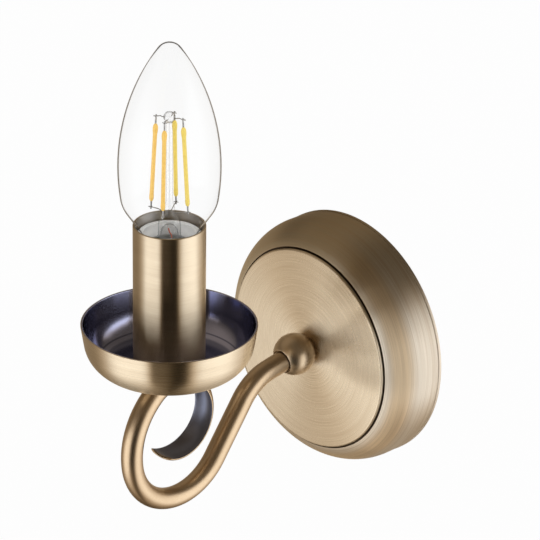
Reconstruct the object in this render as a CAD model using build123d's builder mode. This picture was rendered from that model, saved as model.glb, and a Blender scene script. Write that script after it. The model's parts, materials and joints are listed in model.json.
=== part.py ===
"""Single-arm candle wall sconce in antique brass, with its candle lamp.

Units are millimetres. The wall is the plane Y = 0, the light reaches out along -Y and up along +Z,
and the origin is the centre of the back plate on the wall. X runs across the light.
"""
from build123d import *
import math
import os

# Sheet and clearances
COVER_SHEET = 0.9
CUP_SHEET = 0.8
SLEEVE_WALL = 0.8
THREAD_GAP = 0.05
HOLE_GAP = 0.15
SLIP_GAP = 0.3

# Back plate cover, a spun shell: radii from its axis, heights from the wall
LIP_RADIUS = 45.9
LIP_HEIGHT = 1.3
LIP_STEP = 0.1
LIP_GROOVE_DEPTH = 0.35
LIP_GROOVE_HEIGHT = 0.4
LIP_FOLD = 2.2
RING_SHOULDER_RADIUS = 16.0
RING_SHOULDER_TURN = 45.0
RING_CROWN_RADIUS = 6.5
RING_WIDTH = 7.8
GROOVE_WIDTH = 0.6
GROOVE_DEPTH = 0.9
DISC_HEIGHT = 22.0
DISC_STEP = 1.2
DISC_EDGE_FILLET = 0.8

# Hollow stud that joins the cover to the ball, with its toothed washer and nut
STUD_RADIUS = 3.95
STUD_BORE_RADIUS = 2.9
STUD_IN_BALL = 4.8
STUD_TAIL = 2.5
STUD_NUT_FLATS = 13.0
STUD_NUT_HEIGHT = 3.5
WASHER_RADIUS = 8.0
WASHER_THICKNESS = 0.8
WASHER_TEETH = 12
WASHER_TOOTH_LENGTH = 1.6
WASHER_TOOTH_GAP = 1.4

# Ball between the cover and the arm
BALL_RADIUS = 7.65
BALL_SEAT = 6.2
BALL_PASSAGE_RADIUS = 2.75
SOCKET_FLOOR = 2.4
SOCKET_MOUTH_GAP = 0.6
SOCKET_MOUTH_DEPTH = 1.8

# Arm: a bent tube that starts in the ball, loops under the cup and ends in a pressed scroll
ARM_RADIUS = 3.8
ARM_WALL = 0.9
ARM_DROOP = 8.8
ARM_START_RUN = 13.2
ARM_SHOULDER_BEND = 19.4
ARM_SHOULDER_TURN = 44.9
ARM_SLOPE_RUN = 22.4
ARM_BELLY_BEND = 21.5
ARM_BELLY_TURN = 135.6
ARM_FRONT_BEND = 27.0
ARM_FRONT_TURN = 61.0
ARM_CROWN_BEND = 11.0
SCROLL_CROWN_BEND = 25.0
SCROLL_CROWN_TURN = 12.7
SCROLL_BEND = 14.0
SCROLL_TURN = 192.7
SCROLL_STATIONS = 10
SCROLL_PRESSED_FROM = 0.35
SCROLL_DISH = 1.5
SCROLL_TIP_HALF_WIDTH = 5.3
SCROLL_TIP_BACK = 1.3
SCROLL_TIP_DISH = 0.15
SLIT_DEPTH = 1.6
SLIT_HEIGHT = 0.35
SLIT_SIDE = 1.4

# Hollow stem on the arm's crown, with the washer and nut that clamp the cup
STEM_COLLAR_RADIUS = 5.6
STEM_COLLAR_HEIGHT = 1.3
STEM_COLLAR_SKIRT = 2.3
STEM_RADIUS = 3.95
STEM_BORE_RADIUS = 2.9
STEM_BELOW_TERMINALS = 0.5
CUP_WASHER_RADIUS = 8.5
CUP_WASHER_THICKNESS = 0.8
CUP_NUT_FLATS = 12.0
CUP_NUT_HEIGHT = 3.0

# Drip cup, a spun bowl
CUP_RADIUS = 30.5
CUP_HEIGHT = 17.5
CUP_CORNER_RADIUS = 12.0
CUP_WALL_LEAN = 9.0

# Candle sleeve
SLEEVE_RADIUS = 12.45
SLEEVE_HEIGHT = 53.6

# Lamp holder for the small screw cap
HOLDER_RADIUS = 11.2
HOLDER_BASE_RADIUS = 10.4
HOLDER_BASE_WALL = 1.6
HOLDER_BASE_FLOOR = 1.6
HOLDER_BODY_HEIGHT = 27.7
HOLDER_FLOOR = 3.0
HOLDER_BELOW_SLEEVE = 10.6
HOLDER_LEDGE_RADIUS = 6.95
HOLDER_LEDGE_HEIGHT = 3.2
SHELL_WALL = 0.4
SHELL_BELOW_HOLDER = 0.8
CONTACT_WIDTH = 5.0
CONTACT_STRIP = 0.5
CONTACT_FOOT = 3.2
CONTACT_CREST = 1.5
CONTACT_SLOPE = 1.5
TERMINAL_SIZE = 4.0
TERMINAL_HEIGHT = 4.4
TERMINAL_GAP = 1.0
TERMINAL_SCREW_RADIUS = 1.3
TERMINAL_SCREW_REACH = 1.2

# Candle lamp, its glass drawn in three bends and a taper from the tip down
LAMP_LENGTH = 98.0
LAMP_ABOVE_FLOOR = 2.9
GLASS_WALL = 0.8
GLASS_TIP_BEND = 4.9
GLASS_TIP_TURN = 54.9
GLASS_FLANK_BEND = 74.0
GLASS_FLANK_TURN = 43.7
GLASS_BELLY_BEND = 11.2
GLASS_BELLY_TURN = 25.2
GLASS_NECK_RADIUS = 6.7
GLASS_ABOVE_FOOT = 25.5
COLLAR_TOP_RADIUS = 10.8
COLLAR_FOOT_RADIUS = 8.6
COLLAR_OVER_GLASS = 3.9
COLLAR_BORE_RADIUS = 6.0
COLLAR_GLASS_GAP = 0.1
CAP_RADIUS = 6.85
CAP_WALL = 0.4
CAP_LENGTH = 20.0
CAP_INSULATOR_HEIGHT = 2.6
CAP_INSULATOR_FOOT_RADIUS = 4.0
CAP_CONTACT_RADIUS = 2.4
CAP_CONTACT_HEIGHT = 1.0
REST_GAP = 0.3

# Filament mount inside the lamp
MOUNT_FOOT_HEIGHT = 0.8
MOUNT_FLARE_HEIGHT = 4.5
MOUNT_PRESS_RADIUS = 3.5
MOUNT_PRESS_HEIGHT = 11.0
MOUNT_ROD_RADIUS = 0.9
MOUNT_BEAD_RADIUS = 2.1
MOUNT_BEAD_RISE = 46.0
FILAMENT_COUNT = 4
FILAMENT_ANGLE = 28.0
FILAMENT_RADIUS = 0.75
FILAMENT_TOP_RISE = 43.1
FILAMENT_FOOT_RISE = 14.7
FILAMENT_TOP_REACH = 4.9
FILAMENT_FOOT_REACH = 6.5
SUPPORT_WIRE_RADIUS = 0.25

# Wall bracket inside the cover
BRACKET_WIDTH = 20.0
BRACKET_SHEET = 2.0
BRACKET_BEND = 1.0
EAR_BEYOND_HOOK = 3.1
EAR_GAP = 0.6
EAR_CORNER = 2.5
SLOT_SPACING = 66.0
SLOT_WIDTH = 4.5
SLOT_LENGTH = 9.0
CABLE_HOLE_RADIUS = 5.0
CABLE_HOLE_RISE = 8.0
GRUB_RADIUS = 1.95
GRUB_BELOW_SHOULDER = 0.6
GRUB_INSIDE = 0.8
GRUB_SUNK = 0.2
GRUB_SOCKET_RADIUS = 1.1
GRUB_SOCKET_DEPTH = 2.0
HOOK_WIDTH = 8.0
HOOK_SHEET = 1.2
HOOK_DROP = 7.5
HOOK_BELOW_SHOULDER = 0.2
EARTH_SCREW_RADIUS = 1.95
EARTH_HEAD_RADIUS = 3.6
EARTH_HEAD_HEIGHT = 2.2
EARTH_TAG_RADIUS = 4.2
EARTH_TAG_SHEET = 0.6
EARTH_TAG_TAIL = 7.5
EARTH_TAG_TAIL_WIDTH = 2.6
EARTH_BARREL_LENGTH = 3.2
EARTH_BARREL_WALL = 0.4
EARTH_RISE = 22.0

# Terminal block and wires
BLOCK_WIDTH = 26.0
BLOCK_DEPTH = 9.5
BLOCK_HEIGHT = 14.0
BLOCK_DROP = 20.0
BLOCK_POLES = 3
BLOCK_PITCH = 8.0
BLOCK_NOTCH = 1.0
BLOCK_SCREW_RADIUS = 1.5
BLOCK_SCREW_SPACING = 7.0
BLOCK_SCREW_DEPTH = 2.5
BLOCK_SCREW_SUNK = 0.6
BLOCK_ENTRY_RADIUS = 1.6
BLOCK_ENTRY_DEPTH = 2.5
WIRE_RADIUS = 0.85
WIRE_SIDE = 1.3
WIRE_BEND = 4.0
WIRE_BALL_BEND = 20.0
WIRE_RISE_HEADING = 20.0

os.makedirs("parts", exist_ok=True)


# Heights off the wall along the cover's axis
ball_centre = DISC_HEIGHT + BALL_SEAT
disc_back = DISC_HEIGHT - COVER_SHEET
washer_back = disc_back - WASHER_THICKNESS
stud_nut_back = washer_back - STUD_NUT_HEIGHT
stud_end = stud_nut_back - STUD_TAIL
stud_tip = DISC_HEIGHT + STUD_IN_BALL
foot_radius = LIP_RADIUS - LIP_STEP
cover_bore_radius = foot_radius - COVER_SHEET
wall_plane = Plane.XZ


def off_wall(height):
    """The plane parallel to the wall at a height off it, facing out along -Y."""
    return Plane.XZ.offset(height)


# Arm centreline, in the plane X = 0 with Y and Z as its own axes
arm_heading = 180 + ARM_DROOP
arm_unit = (math.cos(math.radians(arm_heading)), math.sin(math.radians(arm_heading)))
crown_turn = arm_heading + ARM_SHOULDER_TURN - ARM_BELLY_TURN - ARM_FRONT_TURN


def along_arm(distance):
    """A point of the arm's first straight, at a distance from the ball's centre, as (Y, Z)."""
    return (-ball_centre + distance * arm_unit[0], distance * arm_unit[1])


def add_arm_bends(first, crown_heading):
    """Draw the arm from the end of its first straight up to the crown, down to a given heading."""
    shoulder = JernArc(first @ 1, first % 1, ARM_SHOULDER_BEND, ARM_SHOULDER_TURN)
    slope = Line(shoulder @ 1, shoulder @ 1 + (shoulder % 1) * ARM_SLOPE_RUN)
    belly = JernArc(slope @ 1, slope % 1, ARM_BELLY_BEND, -ARM_BELLY_TURN)
    front = JernArc(belly @ 1, belly % 1, ARM_FRONT_BEND, -ARM_FRONT_TURN)
    return JernArc(front @ 1, front % 1, ARM_CROWN_BEND, crown_heading - crown_turn)


with BuildLine(Plane.YZ) as arm_centreline:
    arm_straight = Line(along_arm(SOCKET_FLOOR), along_arm(ARM_START_RUN))
    add_arm_bends(arm_straight, 0)

with BuildLine(Plane.YZ) as bore_centreline:
    bore_straight = Line(along_arm(SOCKET_FLOOR - ARM_WALL), along_arm(ARM_START_RUN))
    add_arm_bends(bore_straight, 0)

arm_top = arm_centreline.line @ 1

with BuildLine(Plane.YZ) as scroll_centreline:
    scroll_crown = JernArc(arm_top, (0, 1, 0), SCROLL_CROWN_BEND, -SCROLL_CROWN_TURN)
    JernArc(scroll_crown @ 1, scroll_crown % 1, SCROLL_BEND, -SCROLL_TURN)

# Heights up the candle's axis, which stands on the arm's crown
candle_y = arm_top.Y
cup_bottom = arm_top.Z + ARM_RADIUS + STEM_COLLAR_HEIGHT
cup_floor = cup_bottom + CUP_SHEET
cup_nut_bottom = cup_floor + CUP_WASHER_THICKNESS
holder_bottom = cup_nut_bottom + CUP_NUT_HEIGHT
sleeve_top = cup_floor + SLEEVE_HEIGHT
holder_top = sleeve_top - HOLDER_BELOW_SLEEVE
holder_split = holder_top - HOLDER_BODY_HEIGHT
holder_floor_top = holder_split + HOLDER_FLOOR
terminal_bottom = holder_split - TERMINAL_HEIGHT
stem_top = terminal_bottom - STEM_BELOW_TERMINALS
lamp_bottom = holder_floor_top + LAMP_ABOVE_FLOOR
lamp_tip = lamp_bottom + LAMP_LENGTH
insulator_bottom = lamp_bottom + CAP_CONTACT_HEIGHT
cap_bottom = insulator_bottom + CAP_INSULATOR_HEIGHT
cap_top = cap_bottom + CAP_LENGTH
glass_bottom = lamp_bottom + GLASS_ABOVE_FOOT
collar_top = glass_bottom + COLLAR_OVER_GLASS
shell_radius = CAP_RADIUS + SLIP_GAP + SHELL_WALL
candle_axis = Axis((0, candle_y, 0), (0, 0, 1))


def candle_plane(height):
    """The level plane at a height on the candle's axis."""
    return Plane((0, candle_y, height))


# Section planes for turned pieces: the cover's about Y, the candle's about its own axis
candle_section = Plane((0, candle_y, 0), x_dir=(1, 0, 0), z_dir=(0, -1, 0))

# Back plate cover
groove_outer_radius = foot_radius - RING_WIDTH
groove_rim_height = DISC_HEIGHT - DISC_STEP
shoulder_end_turn = math.radians(RING_SHOULDER_TURN)
shoulder_centre_radius = foot_radius - RING_SHOULDER_RADIUS
crown_offset = RING_SHOULDER_RADIUS - RING_CROWN_RADIUS
ring_crown_centre_radius = shoulder_centre_radius + crown_offset * math.cos(shoulder_end_turn)
crown_end_turn = math.acos((groove_outer_radius - ring_crown_centre_radius) / RING_CROWN_RADIUS)
ring_crown_centre_height = groove_rim_height - RING_CROWN_RADIUS * math.sin(crown_end_turn)
shoulder_centre_height = ring_crown_centre_height - crown_offset * math.sin(shoulder_end_turn)
groove_inner_radius = groove_outer_radius - GROOVE_WIDTH
hook_height = shoulder_centre_height - HOOK_BELOW_SHOULDER
hook_flange = hook_height - COVER_SHEET - SLIP_GAP
grub_height = shoulder_centre_height - GRUB_BELOW_SHOULDER
ear_reach = hook_height + EAR_BEYOND_HOOK
groove_floor_height = groove_rim_height - GROOVE_DEPTH
inner_groove_height = groove_floor_height - COVER_SHEET
inner_crown_turn = math.asin((inner_groove_height - ring_crown_centre_height)
                             / (RING_CROWN_RADIUS - COVER_SHEET))


def shoulder_point(turn, inset):
    """A point of the ring's wide shoulder as (radius, height), inset by a sheet's thickness."""
    reach = RING_SHOULDER_RADIUS - inset
    return (shoulder_centre_radius + reach * math.cos(turn),
            -(shoulder_centre_height + reach * math.sin(turn)))


def crown_point(turn, inset):
    """A point of the ring's tighter crown beside the groove as (radius, height), inset."""
    reach = RING_CROWN_RADIUS - inset
    return (ring_crown_centre_radius + reach * math.cos(turn),
            -(ring_crown_centre_height + reach * math.sin(turn)))


def ring_arcs(start, last_turn, inset):
    """Draw the ring from its foot over the shoulder and the crown, in the cover's section."""
    foot = Line(start, shoulder_point(0, inset))
    shoulder = ThreePointArc(foot @ 1, shoulder_point(shoulder_end_turn / 2, inset),
                             shoulder_point(shoulder_end_turn, inset))
    middle_turn = (shoulder_end_turn + last_turn) / 2
    return ThreePointArc(shoulder @ 1, crown_point(middle_turn, inset), crown_point(last_turn, inset))


with BuildPart() as backplate_cover:
    with BuildSketch(Plane.XY):
        with BuildLine():
            rim = Polyline((LIP_RADIUS - LIP_FOLD, 0), (LIP_RADIUS, 0), (LIP_RADIUS, -LIP_HEIGHT),
                           (foot_radius - LIP_GROOVE_DEPTH, -LIP_HEIGHT),
                           (foot_radius - LIP_GROOVE_DEPTH, -LIP_HEIGHT - LIP_GROOVE_HEIGHT),
                           (foot_radius, -LIP_HEIGHT - LIP_GROOVE_HEIGHT))
            ring = ring_arcs(rim @ 1, crown_end_turn, 0)
            Polyline(ring @ 1, (groove_outer_radius, -groove_floor_height),
                     (groove_inner_radius, -groove_floor_height), (groove_inner_radius, -DISC_HEIGHT),
                     (0, -DISC_HEIGHT), (0, -disc_back), (groove_inner_radius - COVER_SHEET, -disc_back),
                     (groove_inner_radius - COVER_SHEET, -inner_groove_height),
                     crown_point(inner_crown_turn, COVER_SHEET))
            inner_crown = ThreePointArc(
                crown_point(inner_crown_turn, COVER_SHEET),
                crown_point((inner_crown_turn + shoulder_end_turn) / 2, COVER_SHEET),
                crown_point(shoulder_end_turn, COVER_SHEET))
            inner_shoulder = ThreePointArc(
                inner_crown @ 1, shoulder_point(shoulder_end_turn / 2, COVER_SHEET),
                shoulder_point(0, COVER_SHEET))
            Polyline(inner_shoulder @ 1, (cover_bore_radius, -COVER_SHEET),
                     (LIP_RADIUS - LIP_FOLD, -COVER_SHEET), (LIP_RADIUS - LIP_FOLD, 0))
        make_face()
    revolve(axis=Axis.Y)
    fillet(backplate_cover.edges().filter_by(GeomType.CIRCLE).group_by(Axis.Y)[0], DISC_EDGE_FILLET)
    with Locations(off_wall(DISC_HEIGHT)):
        Cylinder(STUD_RADIUS + HOLE_GAP, COVER_SHEET * 2, mode=Mode.SUBTRACT)
    with Locations(Plane((0, -grub_height, -foot_radius))):
        Cylinder(GRUB_RADIUS + HOLE_GAP, LIP_FOLD * 2, mode=Mode.SUBTRACT)
backplate_cover.part.label = "backplate_cover"
export_step(backplate_cover.part, "parts/backplate_cover.step")

# Hollow stud through the cover into the ball
with BuildPart() as mounting_stud:
    with BuildSketch(off_wall(stud_end)):
        Circle(STUD_RADIUS)
        Circle(STUD_BORE_RADIUS, mode=Mode.SUBTRACT)
    extrude(amount=stud_tip - stud_end)
mounting_stud.part.label = "mounting_stud"
export_step(mounting_stud.part, "parts/mounting_stud.step")

with BuildPart() as stud_nut:
    with BuildSketch(off_wall(stud_nut_back)):
        RegularPolygon(STUD_NUT_FLATS / 2, 6, major_radius=False)
        Circle(STUD_RADIUS + THREAD_GAP, mode=Mode.SUBTRACT)
    extrude(amount=STUD_NUT_HEIGHT)
stud_nut.part.label = "stud_nut"
export_step(stud_nut.part, "parts/stud_nut.step")

with BuildPart() as toothed_washer:
    with BuildSketch(off_wall(washer_back)):
        Circle(WASHER_RADIUS)
        Circle(STUD_RADIUS + HOLE_GAP, mode=Mode.SUBTRACT)
        with PolarLocations(WASHER_RADIUS, WASHER_TEETH):
            Rectangle(WASHER_TOOTH_LENGTH * 2, WASHER_TOOTH_GAP, mode=Mode.SUBTRACT)
    extrude(amount=WASHER_THICKNESS)
toothed_washer.part.label = "toothed_washer"
export_step(toothed_washer.part, "parts/toothed_washer.step")

# Ball, drilled for the stud behind and for the arm in front
socket_plane = Plane((0, -ball_centre, 0), x_dir=(1, 0, 0), z_dir=(0, arm_unit[0], arm_unit[1]))
with BuildPart() as ball:
    with Locations((0, -ball_centre, 0)):
        Sphere(BALL_RADIUS)
    split(bisect_by=off_wall(DISC_HEIGHT), keep=Keep.TOP)
    with BuildSketch(off_wall(DISC_HEIGHT)):
        Circle(STUD_RADIUS + THREAD_GAP)
    extrude(amount=STUD_IN_BALL, mode=Mode.SUBTRACT)
    with BuildSketch(off_wall(stud_tip)):
        Circle(BALL_PASSAGE_RADIUS)
    extrude(amount=BALL_SEAT - STUD_IN_BALL, mode=Mode.SUBTRACT)
    with BuildSketch(socket_plane):
        Circle(BALL_PASSAGE_RADIUS)
    extrude(amount=SOCKET_FLOOR, mode=Mode.SUBTRACT)
    with Locations((0, -ball_centre, 0)):
        Sphere(BALL_PASSAGE_RADIUS, mode=Mode.SUBTRACT)
    with BuildSketch(socket_plane.offset(SOCKET_FLOOR)):
        Circle(ARM_RADIUS + THREAD_GAP)
    extrude(amount=BALL_RADIUS, mode=Mode.SUBTRACT)
    socket_mouth = math.sqrt(BALL_RADIUS ** 2 - (ARM_RADIUS + SOCKET_MOUTH_GAP) ** 2)
    with BuildSketch(socket_plane.offset(socket_mouth - SOCKET_MOUTH_DEPTH)):
        Circle(ARM_RADIUS + SOCKET_MOUTH_GAP)
    extrude(amount=BALL_RADIUS, mode=Mode.SUBTRACT)
ball.part.label = "ball"
export_step(ball.part, "parts/ball.step")


def scroll_section(share):
    """Draw the pressed tube's section at a share of the scroll's length, with its inner side up."""
    half_width = ARM_RADIUS + (SCROLL_TIP_HALF_WIDTH - ARM_RADIUS) * share
    back = ARM_RADIUS + (SCROLL_TIP_BACK - ARM_RADIUS) * share
    pressed = min(1, share / SCROLL_PRESSED_FROM)
    eased = pressed * pressed * (3 - 2 * pressed)
    past = max(0, share - SCROLL_PRESSED_FROM) / (1 - SCROLL_PRESSED_FROM)
    front = ARM_RADIUS - (ARM_RADIUS + SCROLL_DISH) * eased + (SCROLL_DISH - SCROLL_TIP_DISH) * past
    ThreePointArc((-half_width, 0), (0, -back), (half_width, 0))
    ThreePointArc((half_width, 0), (0, front), (-half_width, 0))


def across(route, share):
    """The plane square to a route at a share of its length, with X across the light."""
    return Plane(route @ share, x_dir=(1, 0, 0), z_dir=route % share)


# Arm: its solid form first, for the pieces that seat on it, then the drilled tube
with BuildPart() as arm_form:
    with BuildSketch(across(arm_centreline.line, 0)):
        Circle(ARM_RADIUS)
    sweep(path=arm_centreline.line)
    for station in range(SCROLL_STATIONS):
        with BuildSketch(across(scroll_centreline.line, station / (SCROLL_STATIONS - 1))):
            with BuildLine():
                scroll_section(station / (SCROLL_STATIONS - 1))
            make_face()
    loft()

with BuildPart() as arm_tube:
    add(arm_form.part)
    with BuildSketch(across(bore_centreline.line, 0)):
        Circle(ARM_RADIUS - ARM_WALL)
    sweep(path=bore_centreline.line, mode=Mode.SUBTRACT)
    with BuildSketch(candle_plane(arm_top.Z)):
        Circle(STEM_BORE_RADIUS)
    extrude(amount=ARM_RADIUS * 2, mode=Mode.SUBTRACT)
    with BuildSketch(across(scroll_centreline.line, 1)):
        with Locations((0, -(SCROLL_TIP_BACK + SCROLL_TIP_DISH) / 2)):
            Rectangle((SCROLL_TIP_HALF_WIDTH - SLIT_SIDE) * 2, SLIT_HEIGHT)
    extrude(amount=-SLIT_DEPTH, mode=Mode.SUBTRACT)
arm_tube.part.label = "arm_tube"
export_step(arm_tube.part, "parts/arm_tube.step")

# Hollow stem brazed on the crown: a collar under the cup and a threaded spigot
with BuildPart() as candle_stem:
    with BuildSketch(candle_plane(cup_bottom)):
        Circle(STEM_COLLAR_RADIUS)
    extrude(amount=-STEM_COLLAR_HEIGHT - STEM_COLLAR_SKIRT)
    with BuildSketch(candle_plane(cup_bottom)):
        Circle(STEM_RADIUS)
    extrude(amount=stem_top - cup_bottom)
    add(arm_form.part, mode=Mode.SUBTRACT)
    with BuildSketch(candle_plane(arm_top.Z)):
        Circle(STEM_BORE_RADIUS)
    extrude(amount=stem_top - arm_top.Z, mode=Mode.SUBTRACT)
candle_stem.part.label = "candle_stem"
export_step(candle_stem.part, "parts/candle_stem.step")

# Drip cup
cup_lean = math.radians(CUP_WALL_LEAN)
corner_rise = CUP_CORNER_RADIUS * (1 - math.sin(cup_lean))
corner_reach = CUP_CORNER_RADIUS * math.cos(cup_lean)
cup_flat_radius = CUP_RADIUS - corner_reach - (CUP_HEIGHT - corner_rise) * math.tan(cup_lean)
corner_turn = math.pi / 2 - cup_lean


def cup_corner(turn, inset):
    """A point of the cup's rounded corner in its section, inset by the sheet's thickness."""
    reach = CUP_CORNER_RADIUS - inset
    return (cup_flat_radius + reach * math.sin(turn),
            cup_bottom + CUP_CORNER_RADIUS - reach * math.cos(turn))


with BuildPart() as drip_cup:
    with BuildSketch(candle_section):
        with BuildLine():
            rim_height = cup_bottom + CUP_HEIGHT
            hole_radius = STEM_RADIUS + HOLE_GAP
            inner_rim_radius = CUP_RADIUS - CUP_SHEET / math.cos(cup_lean)
            flat = Line((hole_radius, cup_bottom), cup_corner(0, 0))
            corner = ThreePointArc(flat @ 1, cup_corner(corner_turn / 2, 0), cup_corner(corner_turn, 0))
            wall = Polyline(corner @ 1, (CUP_RADIUS, rim_height), (inner_rim_radius, rim_height),
                            cup_corner(corner_turn, CUP_SHEET))
            inside = ThreePointArc(wall @ 1, cup_corner(corner_turn / 2, CUP_SHEET),
                                   cup_corner(0, CUP_SHEET))
            Polyline(inside @ 1, (hole_radius, cup_floor), (hole_radius, cup_bottom))
        make_face()
    revolve(axis=candle_axis)
    fillet(drip_cup.edges().group_by(Axis.Z)[-1], CUP_SHEET / 3)
drip_cup.part.label = "drip_cup"
export_step(drip_cup.part, "parts/drip_cup.step")

with BuildPart() as cup_washer:
    with BuildSketch(candle_plane(cup_floor)):
        Circle(CUP_WASHER_RADIUS)
        Circle(STEM_RADIUS + HOLE_GAP, mode=Mode.SUBTRACT)
    extrude(amount=CUP_WASHER_THICKNESS)
cup_washer.part.label = "cup_washer"
export_step(cup_washer.part, "parts/cup_washer.step")

with BuildPart() as cup_nut:
    with BuildSketch(candle_plane(cup_nut_bottom)):
        RegularPolygon(CUP_NUT_FLATS / 2, 6, major_radius=False)
        Circle(STEM_RADIUS + THREAD_GAP, mode=Mode.SUBTRACT)
    extrude(amount=CUP_NUT_HEIGHT)
cup_nut.part.label = "cup_nut"
export_step(cup_nut.part, "parts/cup_nut.step")

with BuildPart() as candle_sleeve:
    with BuildSketch(candle_plane(cup_floor)):
        Circle(SLEEVE_RADIUS)
        Circle(SLEEVE_RADIUS - SLEEVE_WALL, mode=Mode.SUBTRACT)
    extrude(amount=SLEEVE_HEIGHT)
    fillet(candle_sleeve.edges().group_by(Axis.Z)[-1], SLEEVE_WALL / 3)
candle_sleeve.part.label = "candle_sleeve"
export_step(candle_sleeve.part, "parts/candle_sleeve.step")

# Lamp holder
with BuildPart() as holder_base:
    with BuildSketch(candle_plane(holder_bottom)):
        Circle(HOLDER_BASE_RADIUS)
    extrude(amount=holder_split - holder_bottom)
    fillet(holder_base.edges().group_by(Axis.Z)[0], HOLDER_BASE_FLOOR / 2)
    with BuildSketch(candle_plane(holder_bottom + HOLDER_BASE_FLOOR)):
        Circle(HOLDER_BASE_RADIUS - HOLDER_BASE_WALL)
    extrude(amount=holder_split - holder_bottom, mode=Mode.SUBTRACT)
    with BuildSketch(candle_plane(holder_bottom)):
        Circle(STEM_RADIUS + THREAD_GAP)
    extrude(amount=HOLDER_BASE_FLOOR, mode=Mode.SUBTRACT)
holder_base.part.label = "holder_base"
export_step(holder_base.part, "parts/holder_base.step")

with BuildPart() as holder_body:
    with BuildSketch(candle_plane(holder_split)):
        Circle(HOLDER_RADIUS)
    extrude(amount=holder_top - holder_split)
    fillet(holder_body.edges().group_by(Axis.Z)[-1], SHELL_BELOW_HOLDER)
    with BuildSketch(candle_plane(holder_floor_top)):
        Circle(HOLDER_LEDGE_RADIUS)
    extrude(amount=holder_top - holder_floor_top, mode=Mode.SUBTRACT)
    with BuildSketch(candle_plane(holder_floor_top + HOLDER_LEDGE_HEIGHT)):
        Circle(shell_radius)
    extrude(amount=holder_top - holder_floor_top, mode=Mode.SUBTRACT)
holder_body.part.label = "holder_body"
export_step(holder_body.part, "parts/holder_body.step")

with BuildPart() as holder_shell:
    shell_bottom = holder_floor_top + HOLDER_LEDGE_HEIGHT
    with BuildSketch(candle_plane(shell_bottom)):
        Circle(shell_radius)
        Circle(shell_radius - SHELL_WALL, mode=Mode.SUBTRACT)
    extrude(amount=holder_top - SHELL_BELOW_HOLDER - shell_bottom)
holder_shell.part.label = "holder_shell"
export_step(holder_shell.part, "parts/holder_shell.step")

with BuildPart() as holder_contact:
    contact_crest = lamp_bottom - REST_GAP - CONTACT_STRIP
    with BuildSketch(candle_section):
        with BuildLine():
            strip = Polyline((-CONTACT_CREST - CONTACT_SLOPE - CONTACT_FOOT, holder_floor_top),
                             (-CONTACT_CREST - CONTACT_SLOPE, holder_floor_top),
                             (-CONTACT_CREST, contact_crest), (CONTACT_CREST, contact_crest),
                             (CONTACT_CREST + CONTACT_SLOPE, holder_floor_top),
                             (CONTACT_CREST + CONTACT_SLOPE + CONTACT_FOOT, holder_floor_top))
            offset(strip, CONTACT_STRIP, side=Side.LEFT)
        make_face()
    extrude(amount=CONTACT_WIDTH / 2, both=True)
holder_contact.part.label = "holder_contact"
export_step(holder_contact.part, "parts/holder_contact.step")

terminal_reach = TERMINAL_GAP / 2 + TERMINAL_SIZE / 2
with BuildPart() as holder_terminals:
    with BuildSketch(candle_plane(terminal_bottom)):
        with Locations((-terminal_reach, 0), (terminal_reach, 0)):
            Rectangle(TERMINAL_SIZE, TERMINAL_SIZE)
    extrude(amount=TERMINAL_HEIGHT)
    terminal_side = Plane((0, candle_y - TERMINAL_SIZE / 2, (terminal_bottom + holder_split) / 2),
                          x_dir=(1, 0, 0), z_dir=(0, -1, 0))
    with BuildSketch(terminal_side):
        with Locations((-terminal_reach, 0), (terminal_reach, 0)):
            Circle(TERMINAL_SCREW_RADIUS)
    extrude(amount=TERMINAL_SCREW_REACH)
holder_terminals.part.label = "holder_terminals"
export_step(holder_terminals.part, "parts/holder_terminals.step")


# Candle lamp
turn_to_flank = math.radians(GLASS_TIP_TURN)
turn_to_belly = turn_to_flank + math.radians(GLASS_FLANK_TURN)
turn_to_taper = turn_to_belly + math.radians(GLASS_BELLY_TURN)
glass_taper = turn_to_taper - math.pi / 2
bends_reach = (GLASS_TIP_BEND * math.sin(turn_to_flank)
               + GLASS_FLANK_BEND * (math.sin(turn_to_belly) - math.sin(turn_to_flank))
               + GLASS_BELLY_BEND * (math.sin(turn_to_taper) - math.sin(turn_to_belly)))
bends_drop = (GLASS_TIP_BEND * (1 - math.cos(turn_to_flank))
              + GLASS_FLANK_BEND * (math.cos(turn_to_flank) - math.cos(turn_to_belly))
              + GLASS_BELLY_BEND * (math.cos(turn_to_belly) - math.cos(turn_to_taper)))
glass_scale = ((lamp_tip - glass_bottom + GLASS_NECK_RADIUS / math.tan(glass_taper))
               / (bends_drop + bends_reach / math.tan(glass_taper)))


def glass_outline(inset):
    """Draw the lamp glass's half section, inset by a thickness, and return its taper."""
    tip = JernArc((0, lamp_tip - inset), (1, 0), GLASS_TIP_BEND * glass_scale - inset, -GLASS_TIP_TURN)
    flank = JernArc(tip @ 1, tip % 1, GLASS_FLANK_BEND * glass_scale - inset, -GLASS_FLANK_TURN)
    belly = JernArc(flank @ 1, flank % 1, GLASS_BELLY_BEND * glass_scale - inset, -GLASS_BELLY_TURN)
    taper_length = ((belly @ 1).Y - glass_bottom) / math.cos(glass_taper)
    taper = Line(belly @ 1, belly @ 1 + (belly % 1) * taper_length)
    Polyline(taper @ 1, (0, glass_bottom), tip @ 0)
    return taper


with BuildPart() as lamp_glass:
    with BuildSketch(candle_section):
        with BuildLine():
            glass_outline(0)
        make_face()
        with BuildLine():
            inner_taper = glass_outline(GLASS_WALL)
        make_face(mode=Mode.SUBTRACT)
    revolve(axis=candle_axis)
lamp_glass.part.label = "lamp_glass"
export_step(lamp_glass.part, "parts/lamp_glass.step")

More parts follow.
